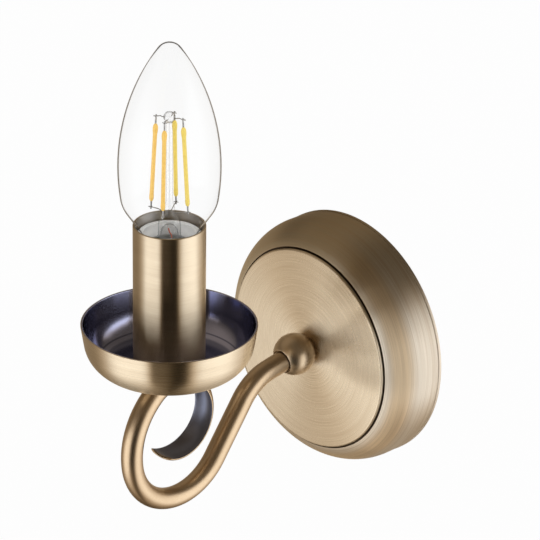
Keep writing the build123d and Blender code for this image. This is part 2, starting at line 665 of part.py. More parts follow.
with BuildPart() as lamp_collar:
    with BuildSketch(candle_section):
        with BuildLine():
            Polyline((0, cap_top), (COLLAR_FOOT_RADIUS, cap_top), (COLLAR_TOP_RADIUS, collar_top),
                     (0, collar_top), close=True)
        make_face()
        with BuildLine():
            glass_outline(-COLLAR_GLASS_GAP)
        make_face(mode=Mode.SUBTRACT)
        with Locations((COLLAR_BORE_RADIUS / 2, collar_top / 2 + cap_top / 2)):
            Rectangle(COLLAR_BORE_RADIUS, (collar_top - cap_top) * 2, mode=Mode.SUBTRACT)
    revolve(axis=candle_axis)
lamp_collar.part.label = "lamp_collar"
export_step(lamp_collar.part, "parts/lamp_collar.step")

with BuildPart() as lamp_cap:
    with BuildSketch(candle_plane(cap_bottom)):
        Circle(CAP_RADIUS)
        Circle(CAP_RADIUS - CAP_WALL, mode=Mode.SUBTRACT)
    extrude(amount=CAP_LENGTH)
lamp_cap.part.label = "lamp_cap"
export_step(lamp_cap.part, "parts/lamp_cap.step")

with BuildPart() as cap_insulator:
    with BuildSketch(candle_section):
        with BuildLine():
            Polyline((0, insulator_bottom), (CAP_INSULATOR_FOOT_RADIUS, insulator_bottom),
                     (CAP_RADIUS, cap_bottom), (0, cap_bottom), close=True)
        make_face()
    revolve(axis=candle_axis)
cap_insulator.part.label = "cap_insulator"
export_step(cap_insulator.part, "parts/cap_insulator.step")

with BuildPart() as cap_contact:
    with BuildSketch(candle_plane(insulator_bottom)):
        Circle(CAP_CONTACT_RADIUS)
    extrude(amount=-CAP_CONTACT_HEIGHT)
    fillet(cap_contact.edges().group_by(Axis.Z)[0], CAP_CONTACT_HEIGHT / 2)
cap_contact.part.label = "cap_contact"
export_step(cap_contact.part, "parts/cap_contact.step")

with BuildPart() as filament_mount:
    neck_radius = (inner_taper @ 1).X
    bead_height = glass_bottom + MOUNT_BEAD_RISE
    press_bottom = glass_bottom + MOUNT_FOOT_HEIGHT + MOUNT_FLARE_HEIGHT
    press_top = glass_bottom + MOUNT_PRESS_HEIGHT
    with BuildSketch(candle_section):
        with BuildLine():
            foot = Polyline((0, glass_bottom), (neck_radius, glass_bottom),
                            (neck_radius, glass_bottom + MOUNT_FOOT_HEIGHT))
            flare = Spline(foot @ 1, (MOUNT_PRESS_RADIUS, press_bottom), tangents=[(-1, 0), (0, 1)])
            press = Line(flare @ 1, (MOUNT_PRESS_RADIUS, press_top))
            neck = Spline(press @ 1, (MOUNT_ROD_RADIUS, press_top + MOUNT_PRESS_RADIUS),
                          tangents=[(0, 1), (0, 1)])
            Polyline(neck @ 1, (MOUNT_ROD_RADIUS, bead_height), (0, bead_height), (0, glass_bottom))
        make_face()
    revolve(axis=candle_axis)
    with Locations((0, candle_y, bead_height)):
        Sphere(MOUNT_BEAD_RADIUS)
filament_mount.part.label = "filament_mount"
export_step(filament_mount.part, "parts/filament_mount.step")


def around_lamp(angle, reach, rise):
    """A point round the candle's axis, at a reach from it and a rise above the glass's foot."""
    turn = math.radians(angle)
    return Vector(reach * math.cos(turn), candle_y + reach * math.sin(turn), glass_bottom + rise)


def facing(start, end):
    """The plane at a point that faces another point."""
    return Plane(start, z_dir=end - start)


filament_angles = [FILAMENT_ANGLE + turn * 360 / FILAMENT_COUNT for turn in range(FILAMENT_COUNT)]

with BuildPart() as filaments:
    for angle in filament_angles:
        foot = around_lamp(angle, FILAMENT_FOOT_REACH, FILAMENT_FOOT_RISE)
        top = around_lamp(angle, FILAMENT_TOP_REACH, FILAMENT_TOP_RISE)
        with BuildSketch(facing(foot, top)):
            Circle(FILAMENT_RADIUS)
        extrude(amount=(top - foot).length)
filaments.part.label = "filaments"
export_step(filaments.part, "parts/filaments.step")

bead_side_reach = MOUNT_BEAD_RADIUS * math.cos(math.radians(FILAMENT_ANGLE))
bead_side_rise = MOUNT_BEAD_RISE - MOUNT_BEAD_RADIUS * math.sin(math.radians(FILAMENT_ANGLE))
with BuildPart() as support_wires:
    for angle in filament_angles:
        top = around_lamp(angle, FILAMENT_TOP_REACH, FILAMENT_TOP_RISE)
        foot = around_lamp(angle, FILAMENT_FOOT_REACH, FILAMENT_FOOT_RISE)
        bead_side = around_lamp(angle, bead_side_reach, bead_side_rise)
        press_side = around_lamp(angle, MOUNT_PRESS_RADIUS, MOUNT_PRESS_HEIGHT)
        for start, end in ((bead_side, top), (press_side, foot)):
            with BuildSketch(facing(start, end)):
                Circle(SUPPORT_WIRE_RADIUS)
            extrude(amount=(end - start).length)
    add(filament_mount.part, mode=Mode.SUBTRACT)
    add(filaments.part, mode=Mode.SUBTRACT)
support_wires.part.label = "support_wires"
export_step(support_wires.part, "parts/support_wires.step")

# Wall bracket: a strap on the wall with an ear at each end
ear_height = math.sqrt(cover_bore_radius ** 2 - (BRACKET_WIDTH / 2) ** 2) - EAR_GAP
with BuildPart() as wall_bracket:
    with BuildSketch(Plane.YZ):
        with BuildLine():
            ear_inside = ear_height - BRACKET_SHEET
            Polyline((0, -ear_height), (-ear_reach, -ear_height), (-ear_reach, -ear_inside),
                     (-BRACKET_SHEET, -ear_inside), (-BRACKET_SHEET, ear_inside), (-ear_reach, ear_inside),
                     (-ear_reach, ear_height), (0, ear_height), close=True)
        make_face()
    extrude(amount=BRACKET_WIDTH / 2, both=True)
    bends = wall_bracket.edges().filter_by(Axis.X).group_by(Axis.Y)[-1]
    fillet(bends, BRACKET_SHEET + BRACKET_BEND)
    ear_corners = wall_bracket.edges().filter_by(Axis.Z).group_by(Axis.Y)[0]
    fillet(ear_corners, EAR_CORNER)
    with BuildSketch(wall_plane):
        with Locations((0, -SLOT_SPACING / 2), (0, SLOT_SPACING / 2)):
            SlotOverall(SLOT_LENGTH, SLOT_WIDTH, rotation=90)
        with Locations((0, CABLE_HOLE_RISE)):
            Circle(CABLE_HOLE_RADIUS)
        with Locations((0, EARTH_RISE)):
            Circle(EARTH_SCREW_RADIUS + THREAD_GAP)
    extrude(amount=BRACKET_SHEET, mode=Mode.SUBTRACT)
    with BuildSketch(Plane((0, -grub_height, -ear_height))):
        Circle(GRUB_RADIUS + THREAD_GAP)
    extrude(amount=BRACKET_SHEET + GRUB_INSIDE + SLIP_GAP, mode=Mode.SUBTRACT)
    with BuildSketch(Plane((0, -hook_height + HOOK_SHEET / 2, ear_height - BRACKET_SHEET))):
        Rectangle(HOOK_WIDTH + SLIP_GAP * 2, HOOK_SHEET + SLIP_GAP * 2)
    extrude(amount=BRACKET_SHEET, mode=Mode.SUBTRACT)
wall_bracket.part.label = "wall_bracket"
export_step(wall_bracket.part, "parts/wall_bracket.step")

# Grub screw that locks the cover to the lower ear, headless and flush
with BuildPart() as cover_grub_screw:
    grub_outer = -foot_radius + GRUB_SUNK
    grub_inner = -ear_height + BRACKET_SHEET + GRUB_INSIDE
    with BuildSketch(Plane((0, -grub_height, grub_outer))):
        Circle(GRUB_RADIUS)
    extrude(amount=grub_inner - grub_outer)
    with BuildSketch(Plane((0, -grub_height, grub_outer))):
        RegularPolygon(GRUB_SOCKET_RADIUS, 6)
    extrude(amount=GRUB_SOCKET_DEPTH, mode=Mode.SUBTRACT)
cover_grub_screw.part.label = "cover_grub_screw"
export_step(cover_grub_screw.part, "parts/cover_grub_screw.step")

# Hook brazed inside the cover's top, which drops through the upper ear
with BuildPart() as cover_hook:
    hook_bottom = ear_height - HOOK_DROP
    flange_bottom = ear_height + HOLE_GAP
    with BuildSketch(Plane((0, -hook_height + HOOK_SHEET / 2, hook_bottom))):
        Rectangle(HOOK_WIDTH, HOOK_SHEET)
    extrude(amount=cover_bore_radius - hook_bottom)
    with BuildSketch(Plane((0, -hook_height + hook_flange / 2, flange_bottom))):
        Rectangle(HOOK_WIDTH, hook_flange)
    extrude(amount=cover_bore_radius - flange_bottom)
    with BuildSketch(wall_plane):
        Circle(cover_bore_radius)
    extrude(amount=ear_reach * 2, mode=Mode.INTERSECT)
cover_hook.part.label = "cover_hook"
export_step(cover_hook.part, "parts/cover_hook.step")

# Earth screw and ring tag on the bracket
tag_top = BRACKET_SHEET + EARTH_TAG_SHEET
with BuildPart() as earth_screw:
    with BuildSketch(off_wall(tag_top)):
        with Locations((0, EARTH_RISE)):
            Circle(EARTH_HEAD_RADIUS)
    extrude(amount=EARTH_HEAD_HEIGHT)
    fillet(earth_screw.edges().group_by(Axis.Y)[0], EARTH_HEAD_HEIGHT / 2)
    with BuildSketch(off_wall(SLIP_GAP)):
        with Locations((0, EARTH_RISE)):
            Circle(EARTH_SCREW_RADIUS)
    extrude(amount=tag_top - SLIP_GAP)
earth_screw.part.label = "earth_screw"
export_step(earth_screw.part, "parts/earth_screw.step")

earth_wire_height = tag_top + WIRE_RADIUS
tail_end = EARTH_RISE - EARTH_TAG_TAIL
barrel_radius = WIRE_RADIUS + EARTH_BARREL_WALL
with BuildPart() as earth_tag:
    with BuildSketch(off_wall(BRACKET_SHEET)):
        with Locations((0, EARTH_RISE)):
            Circle(EARTH_TAG_RADIUS)
        with Locations((0, EARTH_RISE - EARTH_TAG_TAIL / 2)):
            Rectangle(EARTH_TAG_TAIL_WIDTH, EARTH_TAG_TAIL)
        with Locations((0, EARTH_RISE)):
            Circle(EARTH_SCREW_RADIUS + HOLE_GAP, mode=Mode.SUBTRACT)
    extrude(amount=EARTH_TAG_SHEET)
    with BuildSketch(Plane((0, -earth_wire_height, tail_end))):
        Circle(barrel_radius)
    extrude(amount=EARTH_BARREL_LENGTH)
    with BuildSketch(Plane((0, -earth_wire_height, tail_end))):
        Circle(WIRE_RADIUS)
    extrude(amount=EARTH_BARREL_LENGTH, mode=Mode.SUBTRACT)
    split(bisect_by=off_wall(BRACKET_SHEET), keep=Keep.TOP)
earth_tag.part.label = "earth_tag"
export_step(earth_tag.part, "parts/earth_tag.step")

# Terminal block on the bracket
block_front = BRACKET_SHEET + BLOCK_DEPTH
entry_height = BRACKET_SHEET + BLOCK_DEPTH / 2
pole_sides = [BLOCK_PITCH * (pole - (BLOCK_POLES - 1) / 2) for pole in range(BLOCK_POLES)]
block_top = -BLOCK_DROP + BLOCK_HEIGHT / 2
block_bottom = block_top - BLOCK_HEIGHT
with BuildPart() as terminal_block:
    with BuildSketch(off_wall(BRACKET_SHEET)):
        with Locations((0, -BLOCK_DROP)):
            Rectangle(BLOCK_WIDTH, BLOCK_HEIGHT)
    extrude(amount=BLOCK_DEPTH)
    with BuildSketch(off_wall(block_front)):
        for left, right in zip(pole_sides, pole_sides[1:]):
            with Locations(((left + right) / 2, -BLOCK_DROP)):
                Rectangle(BLOCK_NOTCH, BLOCK_HEIGHT)
    extrude(amount=-BLOCK_DEPTH / 2, mode=Mode.SUBTRACT)
    with BuildSketch(off_wall(block_front)):
        for side in pole_sides:
            with Locations((side, -BLOCK_DROP)):
                with GridLocations(0, BLOCK_SCREW_SPACING, 1, 2):
                    Circle(BLOCK_SCREW_RADIUS + HOLE_GAP)
    extrude(amount=-BLOCK_SCREW_DEPTH, mode=Mode.SUBTRACT)
    for level, depth in ((block_top, -BLOCK_ENTRY_DEPTH), (block_bottom, BLOCK_ENTRY_DEPTH)):
        with BuildSketch(Plane((0, -entry_height, level))):
            with Locations(*[(side, 0) for side in pole_sides]):
                Circle(BLOCK_ENTRY_RADIUS)
        extrude(amount=depth, mode=Mode.SUBTRACT)
terminal_block.part.label = "terminal_block"
export_step(terminal_block.part, "parts/terminal_block.step")

with BuildPart() as block_screws:
    with BuildSketch(off_wall(block_front - BLOCK_SCREW_DEPTH)):
        for side in pole_sides:
            with Locations((side, -BLOCK_DROP)):
                with GridLocations(0, BLOCK_SCREW_SPACING, 1, 2):
                    Circle(BLOCK_SCREW_RADIUS)
    extrude(amount=BLOCK_SCREW_DEPTH - BLOCK_SCREW_SUNK)
block_screws.part.label = "block_screws"
export_step(block_screws.part, "parts/block_screws.step")

# Wires: from the block through the stud, the ball and the arm, up the stem to the holder
wire_end = terminal_bottom
wire_entry = block_top - BLOCK_ENTRY_DEPTH
ball_bend_reach = WIRE_BALL_BEND * math.tan(math.radians(ARM_DROOP / 2))
wire_turn_height = stud_end / 2 + WIRE_RADIUS * 2
rise_radius = (ARM_CROWN_BEND * math.sin(math.radians(WIRE_RISE_HEADING))
               / (1 - math.sin(math.radians(WIRE_RISE_HEADING))))


def draw_cover_route(pole_side, side):
    """Draw a supply wire's way from its pole of the block into the stud."""
    FilletPolyline((pole_side, -entry_height, wire_entry), (pole_side, -entry_height, block_top / 2),
                   (side, -wire_turn_height, 0), (side, -washer_back, 0), radius=WIRE_BEND)


def draw_arm_route():
    """Draw a supply wire's way through the ball and the arm, and up the stem to its terminal."""
    through = Line((-washer_back, 0), (-ball_centre + ball_bend_reach, 0))
    bend = JernArc(through @ 1, through % 1, WIRE_BALL_BEND, ARM_DROOP)
    straight = Line(bend @ 1, along_arm(ARM_START_RUN))
    crown = add_arm_bends(straight, WIRE_RISE_HEADING)
    rise = JernArc(crown @ 1, crown % 1, rise_radius, 90 - WIRE_RISE_HEADING)
    Line(rise @ 1, (candle_y, wire_end))


with BuildPart() as live_wire:
    with BuildLine() as live_cover_route:
        draw_cover_route(pole_sides[0], -WIRE_SIDE)
    with BuildSketch(Plane(live_cover_route.line @ 0, z_dir=live_cover_route.line % 0)):
        Circle(WIRE_RADIUS)
    sweep(path=live_cover_route.line)
    with BuildLine(Plane.YZ.offset(-WIRE_SIDE)) as live_arm_route:
        draw_arm_route()
    with BuildSketch(across(live_arm_route.line, 0)):
        Circle(WIRE_RADIUS)
    sweep(path=live_arm_route.line)
live_wire.part.label = "live_wire"
export_step(live_wire.part, "parts/live_wire.step")

with BuildPart() as neutral_wire:
    with BuildLine() as neutral_cover_route:
        draw_cover_route(pole_sides[-1], WIRE_SIDE)
    with BuildSketch(Plane(neutral_cover_route.line @ 0, z_dir=neutral_cover_route.line % 0)):
        Circle(WIRE_RADIUS)
    sweep(path=neutral_cover_route.line)
    with BuildLine(Plane.YZ.offset(WIRE_SIDE)) as neutral_arm_route:
        draw_arm_route()
    with BuildSketch(across(neutral_arm_route.line, 0)):
        Circle(WIRE_RADIUS)
    sweep(path=neutral_arm_route.line)
neutral_wire.part.label = "neutral_wire"
export_step(neutral_wire.part, "parts/neutral_wire.step")

with BuildPart() as earth_wire:
    with BuildLine() as earth_route:
        FilletPolyline((0, -entry_height, wire_entry), (0, -entry_height, block_top + WIRE_BEND),
                       (0, -earth_wire_height, 0), (0, -earth_wire_height, tail_end + EARTH_BARREL_LENGTH),
                       radius=WIRE_BEND)
    with BuildSketch(Plane(earth_route.line @ 0, z_dir=earth_route.line % 0)):
        Circle(WIRE_RADIUS)
    sweep(path=earth_route.line)
earth_wire.part.label = "earth_wire"
export_step(earth_wire.part, "parts/earth_wire.step")
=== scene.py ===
"""Single-arm candle wall sconce: looks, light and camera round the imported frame.

Sizes are millimetres in the part's own frame unless a comment says otherwise: the wall is Y = 0, the
light reaches out along -Y and up along +Z. MM turns them into Blender's metres.
"""
import json
import math
import bpy
import bmesh
from mathutils import Matrix, Vector


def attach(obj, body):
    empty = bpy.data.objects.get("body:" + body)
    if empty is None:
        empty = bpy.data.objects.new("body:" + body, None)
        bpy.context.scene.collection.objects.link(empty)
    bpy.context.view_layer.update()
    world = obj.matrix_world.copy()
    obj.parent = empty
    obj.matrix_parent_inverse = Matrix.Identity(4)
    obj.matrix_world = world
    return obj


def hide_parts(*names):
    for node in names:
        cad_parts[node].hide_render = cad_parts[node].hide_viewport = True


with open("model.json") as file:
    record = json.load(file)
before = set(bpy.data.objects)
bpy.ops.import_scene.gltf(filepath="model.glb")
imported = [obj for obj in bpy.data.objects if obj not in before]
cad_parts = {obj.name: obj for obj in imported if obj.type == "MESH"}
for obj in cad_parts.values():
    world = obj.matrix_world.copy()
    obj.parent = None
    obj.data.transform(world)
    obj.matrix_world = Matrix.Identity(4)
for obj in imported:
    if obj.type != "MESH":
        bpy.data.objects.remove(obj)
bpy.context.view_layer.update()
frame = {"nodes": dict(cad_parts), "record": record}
MM = 0.001

# Back plate cover
COVER_SHEET = 0.9
LIP_RADIUS = 45.9
LIP_HEIGHT = 1.3
LIP_GROOVE_DEPTH = 0.15
LIP_GROOVE_HEIGHT = 0.4
LIP_FOLD = 2.2
FOOT_RADIUS = 45.8
RING_SHOULDER = 16.0
RING_CROWN = 6.5
RING_TURN = math.radians(45.0)
GROOVE_OUTER = 38.0
GROOVE_INNER = 37.4
GROOVE_RIM = 20.8
GROOVE_FLOOR = 19.9
DISC_HEIGHT = 22.0
STUD_HOLE = 4.1

# Ball, with the arm's socket
BALL_RADIUS = 7.65
BALL_CENTRE = 28.2
SOCKET_RADIUS = 3.85
SOCKET_MOUTH = 4.4
SOCKET_MOUTH_DEPTH = 1.8
SOCKET_FLOOR = 2.4

# Arm. A route is a row of (radius, turn in degrees), or of (None, length) for a straight
ARM_RADIUS = 3.8
ARM_DROOP = 8.8
ARM_START_RUN = 13.2
ARM_ROUTE = ((19.4, 44.9), (None, 22.4), (21.5, -135.6), (27.0, -61.0))
CROWN_BEND = 11.0
SCROLL_ROUTE = ((25.0, -12.7), (14.0, -192.7))
SCROLL_PRESSED_FROM = 0.35
SCROLL_DISH = 1.5
SCROLL_HALF_WIDTH = 5.3
SCROLL_SQUARENESS = 5
SCROLL_TIP_BACK = 1.3
SCROLL_TIP_DISH = 0.15
# The tip's end rings: share of the width, share of the thickness, and run past the scroll's end
SCROLL_TIP_RINGS = ((0.94, 0.8, 0.12), (0.8, 0.3, 0.14), (0.8, 0.3, -1.3))
ARM_SEGMENTS = 72

# Drip cup and candle sleeve
CANDLE_Y = -88.706
CUP_BOTTOM = 14.606
CUP_SHEET = 0.8
CUP_RADIUS = 30.5
CUP_HEIGHT = 17.5
CUP_CORNER = 12.0
CUP_LEAN = math.radians(9.0)
CUP_HOLE = 4.1
CUP_RIM_ROUND = 0.38
SLEEVE_RADIUS = 12.45
SLEEVE_WALL = 0.8
SLEEVE_BOTTOM = 15.406
SLEEVE_TOP = 69.006
SLEEVE_RIM_ROUND = 0.25

# Lamp. GLASS_BENDS run from the tip down, as (radius, turn in degrees)
LAMP_TIP = 134.605
GLASS_BOTTOM = 62.106
GLASS_WALL = 0.8
GLASS_BENDS = ((4.9, 54.9), (74.0, 43.7), (11.2, 25.2))
COLLAR_TOP = 66.006
COLLAR_FOOT = 60.206
COLLAR_GAP = 0.12
COLLAR_FOOT_RADIUS = 8.6
COLLAR_TOP_RADIUS = 10.8
CAP_BOTTOM = 40.206
CAP_RADIUS = 6.85
CAP_ROWS, CAP_SEGMENTS = 132, 96
THREAD_PITCH = 2.822
THREAD_DEPTH = 0.45

# The mount's flare and rod, and the flare's hollow, as (radius, height over the glass's foot)
STEM = ((4.6, 1.6), (3.9, 3.2), (3.85, 6.0), (3.7, 8.0), (3.1, 9.6), (2.2, 10.6), (1.9, 12.0), (1.7, 13.6),
        (1.25, 15.2), (1.1, 17.0))
STEM_HOLLOW = ((0.0, 7.0), (1.6, 6.6), (2.9, 5.0), (3.1, 2.6), (3.9, 1.0))
BEAD_HEIGHT = GLASS_BOTTOM + 46.0
BEAD_RADIUS = 2.1
PRESS_HEIGHT = GLASS_BOTTOM + 11.3
PRESS_RADIUS = 1.7

# Filaments, as (radius, height) of their ends, and their coating's half width along their length
FILAMENT_ANGLES = [math.radians(28 + 90 * turn) for turn in range(4)]
FILAMENT_TOP = (4.9, GLASS_BOTTOM + 43.1)
FILAMENT_FOOT = (6.5, GLASS_BOTTOM + 14.7)
FILAMENT_WIDTHS = ((0, 0.35), (0.012, 0.62), (0.03, 0.75), (0.06, 0.8), (0.1, 0.72), (0.5, 0.7), (0.86, 0.72),
                   (0.9, 0.86), (0.93, 0.92), (0.96, 0.86), (0.985, 0.6), (1.0, 0.3))
TAB_LAP = 0.4
TAB_RADII = (0.32, 0.3, 0.22)
SUPPORT_RADIUS = 0.17
SUPPORT_END = 0.9
CROSS_RADIUS = 0.14
CROSS_HALF = 0.8
# The red lead in the flare, as (x, y, height over the glass's foot) from the candle's axis
LEAD_POINTS = ((0.5, 0.6, 2.0), (0.7, 0.3, 3.2), (0.3, -0.3, 4.4), (-0.2, -0.3, 5.6))
LEAD_RADIUS = 0.22


# Mesh helpers
def new_object(name, verts, faces, uvs, sharp):
    """A mesh object from points in millimetres, smooth where its faces meet under sharp degrees."""
    mesh = bpy.data.meshes.new(name)
    mesh.from_pydata([tuple(c * MM for c in v) for v in verts], [], faces)
    layer = mesh.uv_layers.new(name="uv")
    for face, corners in zip(mesh.polygons, uvs):
        for loop, uv in zip(face.loop_indices, corners):
            layer.data[loop].uv = uv
    mesh.validate()
    for face in mesh.polygons:
        face.use_smooth = True
    mesh.set_sharp_from_angle(angle=math.radians(sharp))
    obj = bpy.data.objects.new(name, mesh)
    bpy.context.scene.collection.objects.link(obj)
    return obj


def fix_normals(obj):
    """Face all of a closed mesh's faces outwards."""
    bm = bmesh.new()
    bm.from_mesh(obj.data)
    bmesh.ops.recalc_face_normals(bm, faces=bm.faces)
    bm.to_mesh(obj.data)
    bm.free()
    return obj


def on_candle(radius, height, angle):
    """A point round the candle's axis."""
    return (radius * math.cos(angle), CANDLE_Y + radius * math.sin(angle), height)


def off_wall(radius, height, angle):
    """A point round the cover's axis, at a height off the wall."""
    return (radius * math.cos(angle), -height, radius * math.sin(angle))


def lathe(name, profile, place, segments, closed=True, sharp=35):
    """Turn a profile of (radius, height) round an axis."""
    verts, rings = [], []
    for radius, height in profile:
        if radius < 1e-6:
            rings.append([len(verts)] * segments)
            verts.append(place(0, height, 0))
            continue
        rings.append([len(verts) + i for i in range(segments)])
        verts += [place(radius, height, math.tau * i / segments) for i in range(segments)]
    run = [0.0]
    for a, b in zip(profile, profile[1:] + profile[:1]):
        run.append(run[-1] + math.dist(a, b))
    faces, uvs = [], []
    for k in range(len(profile) if closed else len(profile) - 1):
        a, b = rings[k], rings[(k + 1) % len(profile)]
        for i in range(segments):
            j = (i + 1) % segments
            corners = ((a[i], i, k), (a[j], i + 1, k), (b[j], i + 1, k + 1), (b[i], i, k + 1))
            face, uv = [], []
            for vertex, turn, step in corners:
                if vertex not in face:
                    face.append(vertex)
                    uv.append((turn / segments, run[step] * 0.01))
            if len(face) > 2:
                faces.append(face)
                uvs.append(uv)
    return fix_normals(new_object(name, verts, faces, uvs, sharp))


def arc(centre, radius, start, end, steps):
    """Points of an arc about a centre, between two angles in radians."""
    turns = [start + (end - start) * i / steps for i in range(steps + 1)]
    return [(centre[0] + radius * math.cos(turn), centre[1] + radius * math.sin(turn)) for turn in turns]


def rounded(points, radii, steps=5):
    """A closed profile with some corners rounded: radii maps a corner's place to its radius."""
    out = []
    for i, point in enumerate(points):
        if i not in radii:
            out.append(point)
            continue
        p = Vector(point)
        before = Vector(points[i - 1]) - p
        after = Vector(points[(i + 1) % len(points)]) - p
        half = before.angle(after) / 2
        reach = min(radii[i] / math.tan(half), before.length * 0.49, after.length * 0.49)
        a, b = p + before.normalized() * reach, p + after.normalized() * reach
        for k in range(steps + 1):
            t = k / steps
            mix = a * (1 - t) ** 2 + p * 2 * t * (1 - t) + b * t ** 2
            out.append((mix.x, mix.y))
    return out


def follow(start, heading, route, step=2.0):
    """Stations (y, z, heading) along a route in the middle plane, an arc's a few degrees apart."""
    y, z = start
    stations = [(y, z, heading)]
    for radius, amount in route:
        if radius is None:
            y += amount * math.cos(heading)
            z += amount * math.sin(heading)
            stations.append((y, z, heading))
            continue
        turn = math.radians(amount)
        side = math.copysign(1, turn)
        cy = y - side * radius * math.sin(heading)
        cz = z + side * radius * math.cos(heading)
        parts = max(2, round(abs(amount) / step))
        for i in range(1, parts + 1):
            h = heading + turn * i / parts
            stations.append((cy + side * radius * math.sin(h), cz - side * radius * math.cos(h), h))
        y, z, heading = stations[-1]
    return stations


def tube(name, rings, segments, sharp=40):
    """Skin rings of points, one after another, into a tube with closed ends."""
    verts = [p for ring in rings for p in ring]
    faces, uvs = [], []
    for k in range(len(rings) - 1):
        low, high = k * segments, (k + 1) * segments
        for i in range(segments):
            j = (i + 1) % segments
            faces.append((low + i, low + j, high + j, high + i))
            uvs.append([((i + across) / segments, (k + along) * 0.02)
                        for across, along in ((0, 0), (1, 0), (1, 1), (0, 1))])
    for end in (0, (len(rings) - 1) * segments):
        faces.append(tuple(end + i for i in range(segments)))
        uvs.append([(0, 0)] * segments)
    return fix_normals(new_object(name, verts, faces, uvs, sharp))


def rod(name, points, radii, segments=20):
    """A round rod through points, with a radius at each."""
    rings = []
    path = [Vector(p) for p in points]
    side = Vector((0.3, 0.9, 0.1))
    for i, (p, radius) in enumerate(zip(path, radii)):
        along = (path[min(i + 1, len(path) - 1)] - path[max(i - 1, 0)]).normalized()
        side = (side - along * side.dot(along)).normalized()
        up = along.cross(side)
        turns = [math.tau * k / segments for k in range(segments)]
        rings.append([tuple(p + side * (radius * math.cos(turn)) + up * (radius * math.sin(turn)))
                      for turn in turns])
    return tube(name, rings, segments)


# Colours of the finishes, and of painted light and shade
BRASS = (0.66, 0.56, 0.42, 1)
BRASS_PALE = (0.74, 0.64, 0.485, 1)
BRASS_BROWN = (0.47, 0.32, 0.18, 1)
# The cover ring's painted light: a pale painted sheen, a golden painted highlight, and olive painted shade on
# its dim side; the olive also tones its brush lines
BRASS_SHEEN = (0.96, 0.88, 0.77, 1)
BRASS_GOLDEN = (0.97, 0.77, 0.53, 1)
BRASS_OLIVE = (0.42, 0.34, 0.22, 1)
VIOLET = (0.37, 0.385, 0.54, 1)
# Painted shade on the cup's floor and the line round it
CUP_FLOOR_SHADE = (0.07, 0.08, 0.15, 1)
SLATE = (0.17, 0.185, 0.25, 1)
SLATE_ROUGHNESS = 0.42
DULL_STEEL = (0.66, 0.64, 0.62, 1)
DULL_ROUGHNESS = 0.45
# Painted shade: the dark brown put in the cover's groove and on the sleeve's foot down in the cup
BROWN_SHADE = (0.1, 0.07, 0.045, 1)
GLASS_EDGE = (0.12, 0.165, 0.25, 1)
GLASS_FACE = (0.9, 0.9, 0.9, 1)
GLASS_TINT = (0.995, 0.995, 0.995, 1)
GLASS_TINT_DEEPER = (0.99, 0.992, 0.992, 1)
COLLAR_WHITE = (0.92, 0.92, 0.91, 1)
COLLAR_OFF_WHITE = (0.87, 0.87, 0.86, 1)
COLLAR_SHADE = (0.11, 0.115, 0.11, 1)
STRIPE_GREEN = (0.14, 0.4, 0.06, 1)
STRIPE_YELLOW = (0.72, 0.66, 0.05, 1)

# How the brush lines lie: noise per metre across them, and round a turn along them
BRUSH_LINES, BRUSH_SWEEP = 5200.0, 1.1
TONE_LINES, TONE_SWEEP = 420.0, 0.5
BRUSH_SLANT = 1.37

# Where finishes and painted light change on the cover's ring, as radii
RING_ROUGH_FROM = 37.0
RING_TONE_FROM = 37.5
RING_FULL = 38.5
RING_ROUGHER = 1.5
RING_SHARE = 0.85
# GOLDEN_BAND is a painted highlight; OLIVE_SIDE is where painted shade turns to the lit side, along the
# bright way
GOLDEN_BAND = (39.0, 41.8, 43.8, 45.6)
OLIVE_SIDE = (-15.0, 36.0)
BRIGHT_WAY_X, BRIGHT_WAY_DOWN = 0.966, 0.259

# Where finishes and painted shade change in the groove, on the cup, the sleeve, the scroll and the collar
GROOVE_DARK_HALF = (0.3, 0.45)
GROOVE_DARK_ABOVE = 0.7
CUP_EYE_HEIGHT = 42.0
COVER_EYE_DEPTH = 6.0
FLOOR_BAND = (15.5, 18.5, 22.5, 23.5)
FLOOR_MIDDLE_SHARE = 0.65
FLOOR_LINE = (24.3, 24.5, 24.7, 24.9)
FLOOR_SHARE = 0.7
SLEEVE_FOOT_REACH = 8.0
SLEEVE_FOOT_SHARE = 0.5
SCROLL_INSIDE_REACH = (17.5, 18.5)
SCROLL_INSIDE_TURNS = (-135, -125, 30, 58)
COLLAR_DARK_RING = (3.6, 4.1, 6.6, 7.1)
GLASS_TIP_REACH = 8


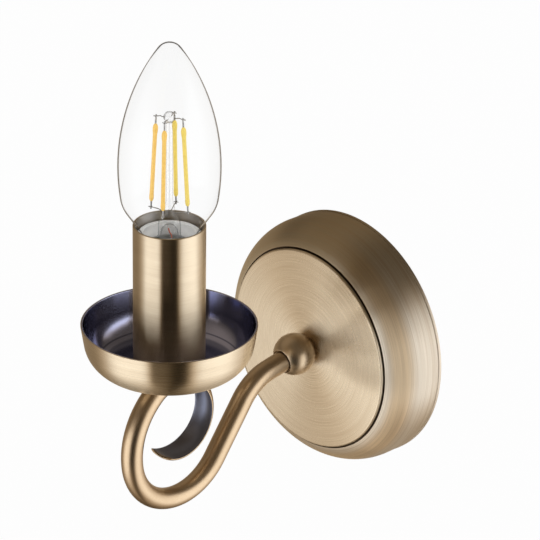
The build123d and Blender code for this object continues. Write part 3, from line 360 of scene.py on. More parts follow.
class Shader:
    """A node material with one Principled shader and short ways to add nodes to it."""

    def __init__(self, name, **inputs):
        self.mat = bpy.data.materials.new(name)
        self.mat.use_nodes = True
        self.tree = self.mat.node_tree
        self.bsdf = self.tree.nodes["Principled BSDF"]
        self.surface = self.tree.nodes["Material Output"].inputs["Surface"]
        for key, value in inputs.items():
            self.bsdf.inputs[key.replace("_", " ")].default_value = value

    def node(self, kind, **settings):
        made = self.tree.nodes.new(kind)
        for key, value in settings.items():
            setattr(made, key, value)
        return made

    def link(self, value, socket):
        """Feed a socket from another one, or set it to a plain value."""
        if isinstance(value, bpy.types.NodeSocket):
            self.tree.links.new(value, socket)
        else:
            socket.default_value = value

    def link_all(self, values, sockets):
        for value, socket in zip(values, sockets):
            self.link(value, socket)

    def math(self, operation, *values):
        made = self.node("ShaderNodeMath", operation=operation)
        self.link_all(values, made.inputs)
        return made.outputs[0]

    def product(self, first, *others):
        for value in others:
            first = self.math("MULTIPLY", first, value)
        return first

    def reach(self, a, b):
        """The length of a leg a and a leg b at right angles."""
        return self.math("SQRT", self.math("ADD", self.product(a, a), self.product(b, b)))

    def vector(self, operation, *values):
        made = self.node("ShaderNodeVectorMath", operation=operation)
        self.link_all(values, made.inputs)
        return made.outputs["Value" if operation == "DOT_PRODUCT" else "Vector"]

    def place(self):
        return self.node("ShaderNodeTexCoord").outputs["Object"]

    def normal(self):
        return self.node("ShaderNodeNewGeometry").outputs["Normal"]

    def split(self, vector):
        made = self.node("ShaderNodeSeparateXYZ")
        self.link(vector, made.inputs[0])
        return made.outputs

    def join(self, x, y, z):
        made = self.node("ShaderNodeCombineXYZ")
        self.link_all((x, y, z), made.inputs)
        return made.outputs[0]

    def noise(self, vector, scale, detail=3.0, rough=0.55):
        made = self.node("ShaderNodeTexNoise")
        self.link(vector, made.inputs["Vector"])
        made.inputs["Scale"].default_value = scale
        made.inputs["Detail"].default_value = detail
        made.inputs["Roughness"].default_value = rough
        return made.outputs["Fac"]

    def ramp(self, value, low, high, start=0.0, end=1.0, smooth=True):
        """start where the value is at low, end where it is at high, and between them in between."""
        made = self.node("ShaderNodeMapRange", interpolation_type="SMOOTHSTEP" if smooth else "LINEAR")
        keys = ("Value", "From Min", "From Max", "To Min", "To Max")
        self.link_all((value, low, high, start, end), [made.inputs[key] for key in keys])
        return made.outputs[0]

    def band(self, value, edges, start=0.0):
        """1 between the middle two of four edges, 0 past the last, and start before the first."""
        rise_from, rise_to, fall_from, fall_to = edges
        return self.product(self.ramp(value, rise_from, rise_to, start, 1.0),
                            self.ramp(value, fall_to, fall_from))

    def mix(self, factor, a, b):
        made = self.node("ShaderNodeMix", data_type="RGBA")
        self.link_all((factor, a, b), (made.inputs[0], made.inputs[6], made.inputs[7]))
        return made.outputs[2]

    def mix_value(self, factor, a, b):
        made = self.node("ShaderNodeMix", data_type="FLOAT")
        self.link_all((factor, a, b), (made.inputs[0], made.inputs[2], made.inputs[3]))
        return made.outputs[0]

    def mix_shader(self, factor, a, b):
        """Show shader a or b, by the factor."""
        made = self.node("ShaderNodeMixShader")
        self.link_all((factor, a.outputs[0], b.outputs[0]), made.inputs)
        self.link(made.outputs[0], self.surface)

    def faces(self, point):
        """1 where the surface faces a point, given in metres, and 0 where it faces away."""
        to_point = self.vector("NORMALIZE", self.vector("SUBTRACT", point, self.place()))
        return self.ramp(self.vector("DOT_PRODUCT", self.normal(), to_point), 0.05, 0.15)

    def bump(self, height, strength, distance):
        made = self.node("ShaderNodeBump")
        made.inputs["Strength"].default_value = strength
        made.inputs["Distance"].default_value = distance
        self.link(height, made.inputs["Height"])
        self.link(made.outputs[0], self.bsdf.inputs["Normal"])

    def colour(self, value):
        self.link(value, self.bsdf.inputs["Base Color"])

    def rough(self, value):
        self.link(value, self.bsdf.inputs["Roughness"])


class TurnedShader(Shader):
    """A shader for a piece turned round the candle's axis, "Z", or the cover's, "Y"."""

    def __init__(self, name, axis, **inputs):
        super().__init__(name, **inputs)
        x, y, z = self.split(self.place())
        if axis == "Z":
            leg, self.along = self.math("ADD", y, -CANDLE_Y * MM), z
        else:
            leg, self.along = z, y
        self.radius = self.reach(x, leg)
        self.angle = self.math("ARCTAN2", leg, x)

    def brushed(self, lines, sweep):
        """Coordinates that run quickly across the brush lines and slowly along them."""
        slanted = self.math("ADD", self.radius, self.product(self.along, BRUSH_SLANT))
        return self.join(self.product(self.math("COSINE", self.angle), sweep),
                         self.product(self.math("SINE", self.angle), sweep), self.product(slanted, lines))


def in_metres(sizes):
    return [size * MM for size in sizes]


# Where a turned piece's finish changes
def ring_tones(s, fine, slow, tone, rough):
    """The ring round the disc: rougher, with a painted golden highlight along its middle, a pale painted
    sheen beside it, and painted olive shade on its dim side.
    """
    rougher = s.ramp(s.radius, RING_ROUGH_FROM * MM, RING_FULL * MM, 1.0, RING_ROUGHER)
    golden = s.band(s.radius, in_metres(GOLDEN_BAND))
    x, _, z = s.split(s.place())
    side = s.math("SUBTRACT", s.product(x, BRIGHT_WAY_X), s.product(z, BRIGHT_WAY_DOWN))
    bright = s.ramp(side, *in_metres(OLIVE_SIDE))
    ring = s.mix(bright, BRASS_OLIVE, s.mix(golden, BRASS_SHEEN, BRASS_GOLDEN))
    ring = s.mix(s.ramp(fine, 0.36, 0.64, 0.0, 0.4), ring, BRASS_OLIVE)
    ring = s.mix(s.ramp(slow, 0.35, 0.65, 0.0, 0.25), ring, BRASS_BROWN)
    on_ring = s.ramp(s.radius, RING_TONE_FROM * MM, RING_FULL * MM, 0.0, RING_SHARE)
    return s.mix(on_ring, tone, ring), s.product(rough, rougher)


def groove_recess(s):
    """Painted shade in the groove between the disc and the ring."""
    across = s.math("ABSOLUTE", s.math("ADD", s.radius, -(GROOVE_OUTER + GROOVE_INNER) / 2 * MM))
    height = s.product(s.along, -1.0)
    low = s.ramp(height, (GROOVE_RIM + GROOVE_DARK_ABOVE) * MM, GROOVE_RIM * MM)
    narrow, wide = in_metres(GROOVE_DARK_HALF)
    return s.product(s.ramp(across, wide, narrow), low)


def cover_inside(s):
    """The cover's unbrushed back: where it faces a point behind the wall."""
    return s.faces((0, COVER_EYE_DEPTH * MM, 0))


def cup_inside(s):
    """The cup's inner wall and floor: where they face a point above the cup."""
    return s.faces((0, CANDLE_Y * MM, CUP_EYE_HEIGHT * MM))


def cup_floor(s):
    """Painted shade on the cup's floor, darkest in a band near its edge, and a painted dark line round it."""
    floor_band = s.band(s.radius, in_metres(FLOOR_BAND), FLOOR_MIDDLE_SHARE)
    dark = s.math("ADD", floor_band, s.band(s.radius, in_metres(FLOOR_LINE)))
    return s.product(cup_inside(s), dark, FLOOR_SHARE)


def sleeve_inside(s):
    """The sleeve's bore."""
    wall, bore_side = in_metres((SLEEVE_RADIUS - SLEEVE_WALL * 0.4, SLEEVE_RADIUS - SLEEVE_WALL * 0.8))
    return s.ramp(s.radius, wall, bore_side)


def sleeve_foot(s):
    """Painted shade on the sleeve's foot, down in the cup."""
    return s.ramp(s.along, (CUP_BOTTOM + SLEEVE_FOOT_REACH) * MM, CUP_BOTTOM * MM, 0.0, SLEEVE_FOOT_SHARE)


# Materials
def brushed_brass(name, axis, roughness, inside, recess, ring=None):
    """Antique brass brushed round its axis.

    inside is (where, colour, roughness), recess is (where, colour) of painted shade, and ring changes tone
    and roughness and adds the ring's painted light.
    """
    s = TurnedShader(name, axis, Metallic=1.0, Anisotropic=1.0, Anisotropic_Rotation=0.25)
    fine = s.noise(s.brushed(BRUSH_LINES, BRUSH_SWEEP), 1.0, 3.0, 0.6)
    slow = s.noise(s.brushed(TONE_LINES, TONE_SWEEP), 1.0, 2.0)
    tone = s.mix(s.ramp(slow, 0.3, 0.7, 0.3, 0.7), BRASS, BRASS_PALE)
    tone = s.mix(s.ramp(fine, 0.38, 0.66, 0.0, 0.2), tone, BRASS_BROWN)
    rough = s.ramp(fine, 0.3, 0.7, roughness - 0.02, roughness + 0.03)
    if ring:
        tone, rough = ring(s, fine, slow, tone, rough)
    where_inside, inside_colour, inside_roughness = inside
    mask = where_inside(s)
    where_recess, recess_colour = recess
    s.colour(s.mix(where_recess(s), s.mix(mask, tone, inside_colour), recess_colour))
    s.rough(s.mix_value(mask, rough, inside_roughness))
    s.bump(fine, 0.03, 0.00003)
    tangent = s.node("ShaderNodeTangent", direction_type="UV_MAP", uv_map="uv")
    s.link(tangent.outputs[0], s.bsdf.inputs["Tangent"])
    return s.mat


def satin_brass(name, brown, roughness, inside=None):
    """Antique brass rubbed smooth. brown is the share of patina, inside where dark slate lies instead."""
    s = Shader(name, Metallic=1.0)
    fine = s.noise(s.place(), 2500.0, 3.0, 0.6)
    slow = s.noise(s.place(), 60.0, 2.0)
    tone = s.mix(s.ramp(slow, 0.3, 0.7), BRASS, BRASS_PALE)
    tone = s.mix(s.ramp(fine, 0.35, 0.65, brown - 0.06, brown + 0.06), tone, BRASS_BROWN)
    rough = s.ramp(fine, 0.3, 0.7, roughness - 0.02, roughness + 0.03)
    if inside:
        mask = inside(s)
        tone = s.mix(mask, tone, SLATE)
        rough = s.mix_value(mask, rough, SLATE_ROUGHNESS)
    s.colour(tone)
    s.rough(rough)
    s.bump(fine, 0.01, 0.00002)
    return s.mat


def grained(name, colour, other, roughness, metallic=0.0, scale=400.0):
    """A plain surface with a soft change of tone, roughness and grain."""
    s = Shader(name, Metallic=metallic)
    grain = s.noise(s.place(), scale, 4.0, 0.6)
    s.colour(s.mix(s.ramp(grain, 0.35, 0.65), colour, other))
    s.rough(s.ramp(grain, 0.3, 0.7, roughness - 0.04, roughness + 0.06))
    s.bump(grain, 0.08, 0.0001)
    return s.mat


def clear_glass(name, outline, haze, tip=0.0):
    """Thin clear glass: see-through, with a gloss that grows and greys where it turns away.

    outline is where that edge line starts and ends, as a share of the turn away, and how strong it is.
    tip widens it where the glass narrows to its point.
    """
    s = Shader(name, Metallic=1.0, Roughness=0.03)
    ripple = s.noise(s.place(), 40.0, 2.0)
    s.bump(ripple, 0.02, 0.0002)
    weight = s.node("ShaderNodeLayerWeight")
    weight.inputs["Blend"].default_value = 0.5
    facing = weight.outputs["Facing"]
    height = s.split(s.place())[2]
    near_tip = s.ramp(height, (LAMP_TIP - GLASS_TIP_REACH) * MM, LAMP_TIP * MM, 0.0, tip)
    edge_from, edge_to, strength = outline
    edge = s.ramp(s.math("ADD", facing, near_tip), edge_from, edge_to)
    s.colour(s.mix(edge, GLASS_FACE, GLASS_EDGE))
    clear = s.node("ShaderNodeBsdfTransparent")
    s.link(s.mix(s.ramp(ripple, 0.3, 0.7), GLASS_TINT, GLASS_TINT_DEEPER), clear.inputs[0])
    gloss = s.math("ADD", s.product(s.math("POWER", facing, 3.0), 0.1), haze)
    share = s.math("MAXIMUM", gloss, s.product(edge, strength))
    path = s.node("ShaderNodeLightPath")
    open_to_light = s.math("SUBTRACT", 1.0, path.outputs["Is Shadow Ray"])
    s.mix_shader(s.product(share, open_to_light), clear, s.bsdf)
    return s.mat


def glowing_coating(name, colour, other):
    """A filament's coating, with a painted glow from a little emission."""
    s = Shader(name, Roughness=0.4, Emission_Color=colour, Emission_Strength=0.3)
    grain = s.noise(s.place(), 900.0, 3.0)
    s.colour(s.mix(s.ramp(grain, 0.3, 0.7), colour, other))
    s.bump(grain, 0.1, 0.0001)
    return s.mat


def collar_white():
    """The collar's white plastic, with a painted shade ring on its floor round the flare's foot."""
    s = TurnedShader("collar_white", "Z", Roughness=0.4)
    grain = s.noise(s.place(), 300.0, 4.0, 0.6)
    white = s.mix(s.ramp(grain, 0.35, 0.65), COLLAR_WHITE, COLLAR_OFF_WHITE)
    s.colour(s.mix(s.band(s.radius, in_metres(COLLAR_DARK_RING)), white, COLLAR_SHADE))
    s.bump(grain, 0.05, 0.0001)
    return s.mat


def earth_stripes():
    """Green and yellow insulation, striped round the wire."""
    s = Shader("earth_insulation")
    across = s.split(s.place())[0]
    stripe = s.ramp(s.math("SINE", s.product(across, 3400.0)), -0.1, 0.1)
    s.colour(s.mix(stripe, STRIPE_GREEN, STRIPE_YELLOW))
    s.rough(s.ramp(s.noise(s.place(), 300.0), 0.3, 0.7, 0.38, 0.48))
    return s.mat


def dress(obj, mat, slot, body, *nodes):
    """Give a piece its material and body, and hide the nodes it stands for; its slot is not used."""
    obj.data.materials.clear()
    obj.data.materials.append(mat)
    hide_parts(*nodes)
    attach(obj, body)


# Arm
arm_heading = math.radians(180 + ARM_DROOP)
arm_unit = (math.cos(arm_heading), math.sin(arm_heading))
arm_start = (-BALL_CENTRE + SOCKET_FLOOR * arm_unit[0], SOCKET_FLOOR * arm_unit[1])
first_run = (None, ARM_START_RUN - SOCKET_FLOOR)
crown_turn = -(math.degrees(arm_heading) + sum(turn for radius, turn in ARM_ROUTE if radius))
arm_line = follow(arm_start, arm_heading, (first_run,) + ARM_ROUTE + ((CROWN_BEND, crown_turn),))
top_of_arm = arm_line[-1][:2]
scroll_line = follow(top_of_arm, 0.0, SCROLL_ROUTE)
bend_y, bend_z, bend_heading = follow(top_of_arm, 0.0, SCROLL_ROUTE[:1])[-1]
scroll_radius = SCROLL_ROUTE[1][0]
scroll_centre = (bend_y + scroll_radius * math.sin(bend_heading),
                 bend_z - scroll_radius * math.cos(bend_heading))


def scroll_inside(s):
    """The pressed scroll's inner face: near the scroll's arc and facing its centre."""
    _, y, z = s.split(s.place())
    dy = s.math("ADD", y, -scroll_centre[0] * MM)
    dz = s.math("ADD", z, -scroll_centre[1] * MM)
    away = s.reach(dy, dz)
    _, ny, nz = s.split(s.normal())
    outward = s.math("DIVIDE", s.math("ADD", s.product(ny, dy), s.product(nz, dz)), away)
    facing = s.ramp(s.product(outward, -1.0), 0.55, 0.78)
    near, far = in_metres(SCROLL_INSIDE_REACH)
    turns = [math.radians(turn) for turn in SCROLL_INSIDE_TURNS]
    return s.product(facing, s.ramp(away, far, near), s.band(s.math("ARCTAN2", dz, dy), turns))


def section(share):
    """The pressed tube's section as (x, inner side) points at a share of the scroll's length."""
    half_width = ARM_RADIUS + (SCROLL_HALF_WIDTH - ARM_RADIUS) * share
    back = ARM_RADIUS + (SCROLL_TIP_BACK - ARM_RADIUS) * share
    pressed = min(1, share / SCROLL_PRESSED_FROM)
    eased = pressed * pressed * (3 - 2 * pressed)
    past = max(0, share - SCROLL_PRESSED_FROM) / (1 - SCROLL_PRESSED_FROM)
    front = ARM_RADIUS - (ARM_RADIUS + SCROLL_DISH) * eased + (SCROLL_DISH - SCROLL_TIP_DISH) * past
    middle, half = (front - back) / 2, (front + back) / 2
    power = 2 + SCROLL_SQUARENESS * eased
    points = []
    for i in range(ARM_SEGMENTS):
        angle = math.tau * i / ARM_SEGMENTS
        across = math.cos(angle)
        bulge = half * math.sqrt(max(0, 1 - abs(across) ** power))
        side = math.copysign(bulge, math.sin(angle)) if bulge > 1e-9 else 0
        points.append((half_width * across, middle * (1 - across * across) + side))
    return points


def ring_at(station, points):
    """Place a section's points at a station of the arm."""
    y, z, heading = station
    side_y, side_z = math.sin(heading), -math.cos(heading)
    return [(x, y + inner * side_y, z + inner * side_z) for x, inner in points]


def tip_section(width, thickness):
    """The scroll's last section, narrowed and thinned towards its own middle line."""
    middle = -(SCROLL_TIP_BACK + SCROLL_TIP_DISH) / 2
    points = []
    for x, inner in section(1):
        line = middle * (1 - (x / SCROLL_HALF_WIDTH) ** 2)
        points.append((x * width, line + (inner - line) * thickness))
    return points


arm_rings = [ring_at(station, section(0)) for station in arm_line[:-1]]
lengths = [0.0]
for a, b in zip(scroll_line, scroll_line[1:]):
    lengths.append(lengths[-1] + math.dist(a[:2], b[:2]))
for station, length in zip(scroll_line, lengths):
    arm_rings.append(ring_at(station, section(length / lengths[-1])))
tip_y, tip_z, tip_heading = scroll_line[-1]
for width, thickness, past in SCROLL_TIP_RINGS:
    station = (tip_y + past * math.cos(tip_heading), tip_z + past * math.sin(tip_heading), tip_heading)
    arm_rings.append(ring_at(station, tip_section(width, thickness)))
dress(tube("arm_tube_brass", arm_rings, ARM_SEGMENTS),
      satin_brass("satin_brass_arm", 0.62, 0.34, scroll_inside), "antique_brass", "fixture", "arm_tube")

# Back plate cover
shoulder_radius = FOOT_RADIUS - RING_SHOULDER
crown_radius = shoulder_radius + (RING_SHOULDER - RING_CROWN) * math.cos(RING_TURN)
crown_end = math.acos((GROOVE_OUTER - crown_radius) / RING_CROWN)
crown_centre = (crown_radius, GROOVE_RIM - RING_CROWN * math.sin(crown_end))
shoulder_centre = (shoulder_radius, crown_centre[1] - (RING_SHOULDER - RING_CROWN) * math.sin(RING_TURN))
disc_back = DISC_HEIGHT - COVER_SHEET
inner_groove = GROOVE_FLOOR - COVER_SHEET
inner_turn = math.asin((inner_groove - crown_centre[1]) / (RING_CROWN - COVER_SHEET))
lip_groove = FOOT_RADIUS - LIP_GROOVE_DEPTH
above_lip = LIP_HEIGHT + LIP_GROOVE_HEIGHT
outer_ring = (arc(shoulder_centre, RING_SHOULDER, 0, RING_TURN, 24)
              + arc(crown_centre, RING_CROWN, RING_TURN, crown_end, 12)[1:])
inner_ring = (arc(crown_centre, RING_CROWN - COVER_SHEET, inner_turn, RING_TURN, 6)
              + arc(shoulder_centre, RING_SHOULDER - COVER_SHEET, RING_TURN, 0, 24)[1:])
cover_profile = rounded([(LIP_RADIUS - LIP_FOLD, 0), (LIP_RADIUS, 0), (LIP_RADIUS, LIP_HEIGHT),
                         (lip_groove, LIP_HEIGHT), (lip_groove, above_lip), (FOOT_RADIUS, above_lip)],
                        {1: 0.45, 2: 0.45, 5: 0.15})
cover_profile += outer_ring[:-1]
cover_profile += rounded([outer_ring[-2], outer_ring[-1],
                          (GROOVE_OUTER, GROOVE_FLOOR), (GROOVE_INNER, GROOVE_FLOOR),
                          (GROOVE_INNER, DISC_HEIGHT), (STUD_HOLE, DISC_HEIGHT)],
                         {1: 0.25, 2: 0.15, 3: 0.15, 4: 0.8}, 8)[1:]
cover_profile += [(STUD_HOLE, disc_back), (GROOVE_INNER - COVER_SHEET, disc_back),
                  (GROOVE_INNER - COVER_SHEET, inner_groove)]
cover_profile += inner_ring
cover_profile += [(FOOT_RADIUS - COVER_SHEET, COVER_SHEET), (LIP_RADIUS - LIP_FOLD, COVER_SHEET)]
dress(lathe("backplate_cover_brass", cover_profile, off_wall, 256),
      brushed_brass("brushed_brass_cover", "Y", 0.28, (cover_inside, DULL_STEEL, DULL_ROUGHNESS),
                    (groove_recess, BROWN_SHADE), ring_tones),
      "antique_brass", "fixture", "backplate_cover")

# Ball, flat where it sits on the disc
mouth_run = math.sqrt(BALL_RADIUS ** 2 - SOCKET_MOUTH ** 2)
mouth_floor = mouth_run - SOCKET_MOUTH_DEPTH
ball_sweep = math.pi - math.asin(SOCKET_MOUTH / BALL_RADIUS)
half_turn = [(BALL_RADIUS * math.sin(turn), BALL_RADIUS * math.cos(turn))
             for turn in (math.pi - ball_sweep * i / 64 for i in range(65))]
ball_profile = half_turn[:-1] + rounded(
    [half_turn[-2], half_turn[-1], (SOCKET_MOUTH, mouth_floor), (SOCKET_RADIUS, mouth_floor),
     (SOCKET_RADIUS, SOCKET_FLOOR), (0, SOCKET_FLOOR)], {1: 0.25})[1:]


def on_ball(radius, height, angle):
    """A point round the arm's first straight, from the ball's centre."""
    side = radius * math.sin(angle)
    return (radius * math.cos(angle), -BALL_CENTRE + height * arm_unit[0] - side * arm_unit[1],
            height * arm_unit[1] + side * arm_unit[0])


ball = lathe("ball_brass", ball_profile, on_ball, 96, closed=False)
bm = bmesh.new()
bm.from_mesh(ball.data)
cut = bmesh.ops.bisect_plane(bm, geom=bm.verts[:] + bm.edges[:] + bm.faces[:],
                             plane_co=(0, -DISC_HEIGHT * MM, 0), plane_no=(0, 1, 0), clear_outer=True)
bmesh.ops.holes_fill(bm, edges=[e for e in cut["geom_cut"] if isinstance(e, bmesh.types.BMEdge)], sides=0)
bmesh.ops.recalc_face_normals(bm, faces=bm.faces)
bm.to_mesh(ball.data)
bm.free()
dress(ball, satin_brass("satin_brass_ball", 0.42, 0.34), "antique_brass", "fixture", "ball")

# Drip cup
corner_rise = CUP_CORNER * (1 - math.sin(CUP_LEAN))
flat_radius = CUP_RADIUS - CUP_CORNER * math.cos(CUP_LEAN) - (CUP_HEIGHT - corner_rise) * math.tan(CUP_LEAN)
corner_centre = (flat_radius, CUP_BOTTOM + CUP_CORNER)
cup_rim = CUP_BOTTOM + CUP_HEIGHT
cup_outer = arc(corner_centre, CUP_CORNER, -math.pi / 2, -CUP_LEAN, 28)
cup_inner = arc(corner_centre, CUP_CORNER - CUP_SHEET, -CUP_LEAN, -math.pi / 2, 28)
cup_lip = rounded([cup_outer[-1], (CUP_RADIUS, cup_rim),
                   (CUP_RADIUS - CUP_SHEET / math.cos(CUP_LEAN), cup_rim), cup_inner[0]],
                  {1: CUP_RIM_ROUND, 2: CUP_RIM_ROUND})[1:-1]
cup_profile = [(CUP_HOLE, CUP_BOTTOM)] + cup_outer + cup_lip + cup_inner
cup_profile.append((CUP_HOLE, CUP_BOTTOM + CUP_SHEET))
dress(lathe("drip_cup_brass", cup_profile, on_candle, 224),
      brushed_brass("brushed_brass_cup", "Z", 0.27, (cup_inside, VIOLET, 0.13), (cup_floor, CUP_FLOOR_SHADE)),
      "antique_brass", "fixture", "drip_cup")

# Candle sleeve
bore = SLEEVE_RADIUS - SLEEVE_WALL
sleeve_profile = rounded([(SLEEVE_RADIUS, SLEEVE_BOTTOM), (SLEEVE_RADIUS, SLEEVE_TOP), (bore, SLEEVE_TOP),
                          (bore, SLEEVE_BOTTOM)], {1: SLEEVE_RIM_ROUND, 2: SLEEVE_RIM_ROUND})
dress(lathe("candle_sleeve_brass", sleeve_profile, on_candle, 160),
      brushed_brass("brushed_brass_sleeve", "Z", 0.31, (sleeve_inside, DULL_STEEL, DULL_ROUGHNESS),
                    (sleeve_foot, BROWN_SHADE)),
      "antique_brass", "fixture", "candle_sleeve")


# Lamp glass and the mount inside it
def glass_line(inset):
    """The lamp glass's outline from its tip down to its foot, as (radius, height)."""
    radius, height, heading = 0.0, LAMP_TIP - inset, 0.0
    points = [(radius, height)]
    for bend, turn in GLASS_BENDS:
        for _ in range(24):
            step = math.radians(turn) / 24
            chord = 2 * (bend - inset) * math.sin(step / 2)
            radius += chord * math.cos(heading + step / 2)
            height -= chord * math.sin(heading + step / 2)
            heading += step
            points.append((radius, height))
    run = (height - GLASS_BOTTOM) / math.sin(heading)
    for i in range(1, 9):
        points.append((radius + run * math.cos(heading) * i / 8, height - run * math.sin(heading) * i / 8))
    return points


def over_foot(points):
    """Points given over the glass's foot, at their real height."""
    return [(radius, GLASS_BOTTOM + height) for radius, height in points]


glass_outside = glass_line(0)
glass_foot = glass_line(GLASS_WALL)[-1]
dress(lathe("lamp_glass_clear", glass_outside + [glass_foot], on_candle, 128, closed=False, sharp=60),
      clear_glass("clear_glass_bulb", (0.73, 0.83, 0.78), 0.015, 0.2), "clear_glass", "lamp", "lamp_glass")

flare_radius = glass_foot[0]
mount_profile = over_foot(STEM_HOLLOW + ((flare_radius - 1.2, 0), (flare_radius - 0.05, 0),
                                         (flare_radius - 0.4, 0.8)) + STEM)
mount_profile += [(1.1, BEAD_HEIGHT - 3.0), (1.25, BEAD_HEIGHT - 2.1), (0.0, BEAD_HEIGHT - 1.9)]
dress(lathe("filament_mount_glass", mount_profile, on_candle, 48, closed=False, sharp=50),
      clear_glass("clear_glass_mount", (0.5, 0.96, 0.65), 0.07), "clear_glass", "lamp", "filament_mount")
bead_profile = arc((0, BEAD_HEIGHT), BEAD_RADIUS, -math.pi / 2, math.pi / 2, 5)
bead_profile[0], bead_profile[-1] = (0.0, BEAD_HEIGHT - BEAD_RADIUS), (0.0, BEAD_HEIGHT + BEAD_RADIUS)
dress(lathe("filament_bead_glass", bead_profile, on_candle, 8, closed=False, sharp=5),
      clear_glass("clear_glass_bead", (0.2, 0.8, 0.55), 0.1), "clear_glass", "lamp", "filament_mount")

# Filaments and their wires
coatings = [glowing_coating("filament_yellow", (0.74, 0.57, 0.12, 1), (0.66, 0.5, 0.09, 1))] * 2
coatings += [glowing_coating("filament_warm", (0.78, 0.5, 0.12, 1), (0.7, 0.43, 0.09, 1))] * 2
wire_steel = grained("wire_steel", (0.5, 0.5, 0.5, 1), (0.36, 0.36, 0.37, 1), 0.3, 1.0, 800.0)


def end_wires(label, end, away, out, holder, post_runs, arch):
    """The tab, support and cross wire at a filament's end, held at holder.

    away is the direction off the filament's end, and out the one off the candle's axis. post_runs are
    the tab's run to its neck, its run to the crossing and its run past that. arch lifts the support.
    """
    neck, crossing, past = post_runs
    post = end + away * crossing
    across = Vector((-out.y, out.x, 0))
    middle = (holder + post) / 2 + Vector((0, 0, arch))
    tab = [end - away * TAB_LAP, end + away * neck, post + away * past]
    support = [holder, middle, post, post + out * SUPPORT_END]
    cross = [post - across * CROSS_HALF, post, post + across * CROSS_HALF]
    wires = [rod(f"tab_{label}", tab, TAB_RADII, 12),
             rod(f"support_{label}", support, [SUPPORT_RADIUS] * 4, 10),
             rod(f"cross_{label}", cross, [CROSS_RADIUS] * 3, 8)]
    for wire in wires:
        dress(wire, wire_steel, "zinc_steel", "lamp", "support_wires")


for index, (angle, coating) in enumerate(zip(FILAMENT_ANGLES, coatings), 1):
    foot, top = Vector(on_candle(*FILAMENT_FOOT, angle)), Vector(on_candle(*FILAMENT_TOP, angle))
    coated = [foot.lerp(top, share) for share, _ in FILAMENT_WIDTHS]
    dress(rod(f"filament_{index}", coated, [width for _, width in FILAMENT_WIDTHS], 24),
          coating, "filament_yellow", "lamp", "filaments")
    along = (top - foot).normalized()
    out = Vector((math.cos(angle), math.sin(angle), 0))
    on_bead = Vector((0, CANDLE_Y, BEAD_HEIGHT - 0.3)) + out * (BEAD_RADIUS - 0.2)
    on_press = Vector((0, CANDLE_Y, PRESS_HEIGHT)) + out * PRESS_RADIUS
    end_wires(f"top_{index}", top, along, out, on_bead, (1.2, 2.6, 0.6), 0.35)
    end_wires(f"foot_{index}", foot, -along, out, on_press, (1.0, 2.2, 0.8), 0.3)
lead = [(x, CANDLE_Y + y, GLASS_BOTTOM + height) for x, y, height in LEAD_POINTS]
dress(rod("lead_wire_red", lead, [LEAD_RADIUS] * len(lead), 12),
      grained("lead_red", (0.75, 0.13, 0.04, 1), (0.6, 0.09, 0.03, 1), 0.4),
      "zinc_steel", "lamp", "support_wires")

# Collar, with a floor closed under the glass
collar_inner = [(r + COLLAR_GAP, h) for r, h in glass_outside if GLASS_BOTTOM - 0.01 <= h < COLLAR_TOP]
collar_profile = [(0.0, COLLAR_FOOT), (COLLAR_FOOT_RADIUS, COLLAR_FOOT), (COLLAR_TOP_RADIUS, COLLAR_TOP),
                  (collar_inner[0][0] + 0.05, COLLAR_TOP)] + collar_inner
collar_profile += [(collar_inner[-1][0], GLASS_BOTTOM - COLLAR_GAP), (0.0, GLASS_BOTTOM - COLLAR_GAP)]
dress(lathe("lamp_collar_white", rounded(collar_profile, {1: 0.3, 2: 0.3}), on_candle, 96, closed=False),
      collar_white(), "collar_plastic", "lamp", "lamp_collar")

# Screw cap with its rolled thread, which fades out at both ends
cap_rings = []
for row in range(CAP_ROWS + 1):
    share = row / CAP_ROWS
    height = CAP_BOTTOM + (COLLAR_FOOT - CAP_BOTTOM) * share
    fade = min(1, share / 0.06, (1 - share) / 0.14)
    ring = []
    for k in range(CAP_SEGMENTS):
        angle = math.tau * k / CAP_SEGMENTS
        wave = 0.5 + 0.5 * math.cos(math.tau * (height - CAP_BOTTOM) / THREAD_PITCH - angle)
        ring.append(on_candle(CAP_RADIUS - THREAD_DEPTH * (1 - wave * fade), height, angle))
    cap_rings.append(ring)
bare_metal = grained("cap_metal", (0.62, 0.62, 0.63, 1), (0.5, 0.5, 0.51, 1), 0.28, 1.0, 500.0)
dress(tube("lamp_cap_threaded", cap_rings, CAP_SEGMENTS, sharp=80), bare_metal,
      "cap_metal", "lamp", "lamp_cap")

# Materials of the nodes shown as they are, by slot
finishes = {
    "antique_brass": satin_brass("satin_brass_small", 0.4, 0.3),
    "cap_metal": bare_metal,
    "green_plastic": earth_stripes(),
}
plain_finishes = {
    "bare_brass": ("bare_brass", (0.72, 0.54, 0.25, 1), (0.6, 0.44, 0.2, 1), 0.25, 1.0, 500.0),
    "zinc_steel": ("zinc_steel", (0.6, 0.6, 0.58, 1), (0.47, 0.47, 0.47, 1), 0.34, 1.0, 350.0),
    "holder_plastic": ("holder_plastic", (0.85, 0.84, 0.8, 1), (0.78, 0.77, 0.73, 1), 0.45, 0.0, 250.0),
    "black_plastic": ("black_glass", (0.02, 0.02, 0.022, 1), (0.03, 0.03, 0.032, 1), 0.15, 0.0, 200.0),
    "block_plastic": ("block_plastic", (0.84, 0.84, 0.8, 1), (0.77, 0.77, 0.72, 1), 0.4, 0.0, 250.0),
    "brown_plastic": ("brown_insulation", (0.2, 0.09, 0.035, 1), (0.15, 0.065, 0.025, 1), 0.42, 0.0, 300.0),
    "blue_plastic": ("blue_insulation", (0.03, 0.13, 0.45, 1), (0.025, 0.1, 0.36, 1), 0.42, 0.0, 300.0),
}
for slot, values in plain_finishes.items():
    finishes[slot] = grained(*values)
replaced = {"arm_tube", "backplate_cover", "ball", "drip_cup", "candle_sleeve", "lamp_glass",
            "filament_mount", "filaments", "support_wires", "lamp_collar", "lamp_cap"}
slots = {entry["node"]: entry["material_slot"] for entry in frame["record"]["subparts"]}
for node, obj in frame["nodes"].items():
    if node in replaced:
        continue
    if not obj.material_slots:
        obj.data.materials.append(None)
    for holder in obj.material_slots:
        holder.material = finishes[slots[node]]

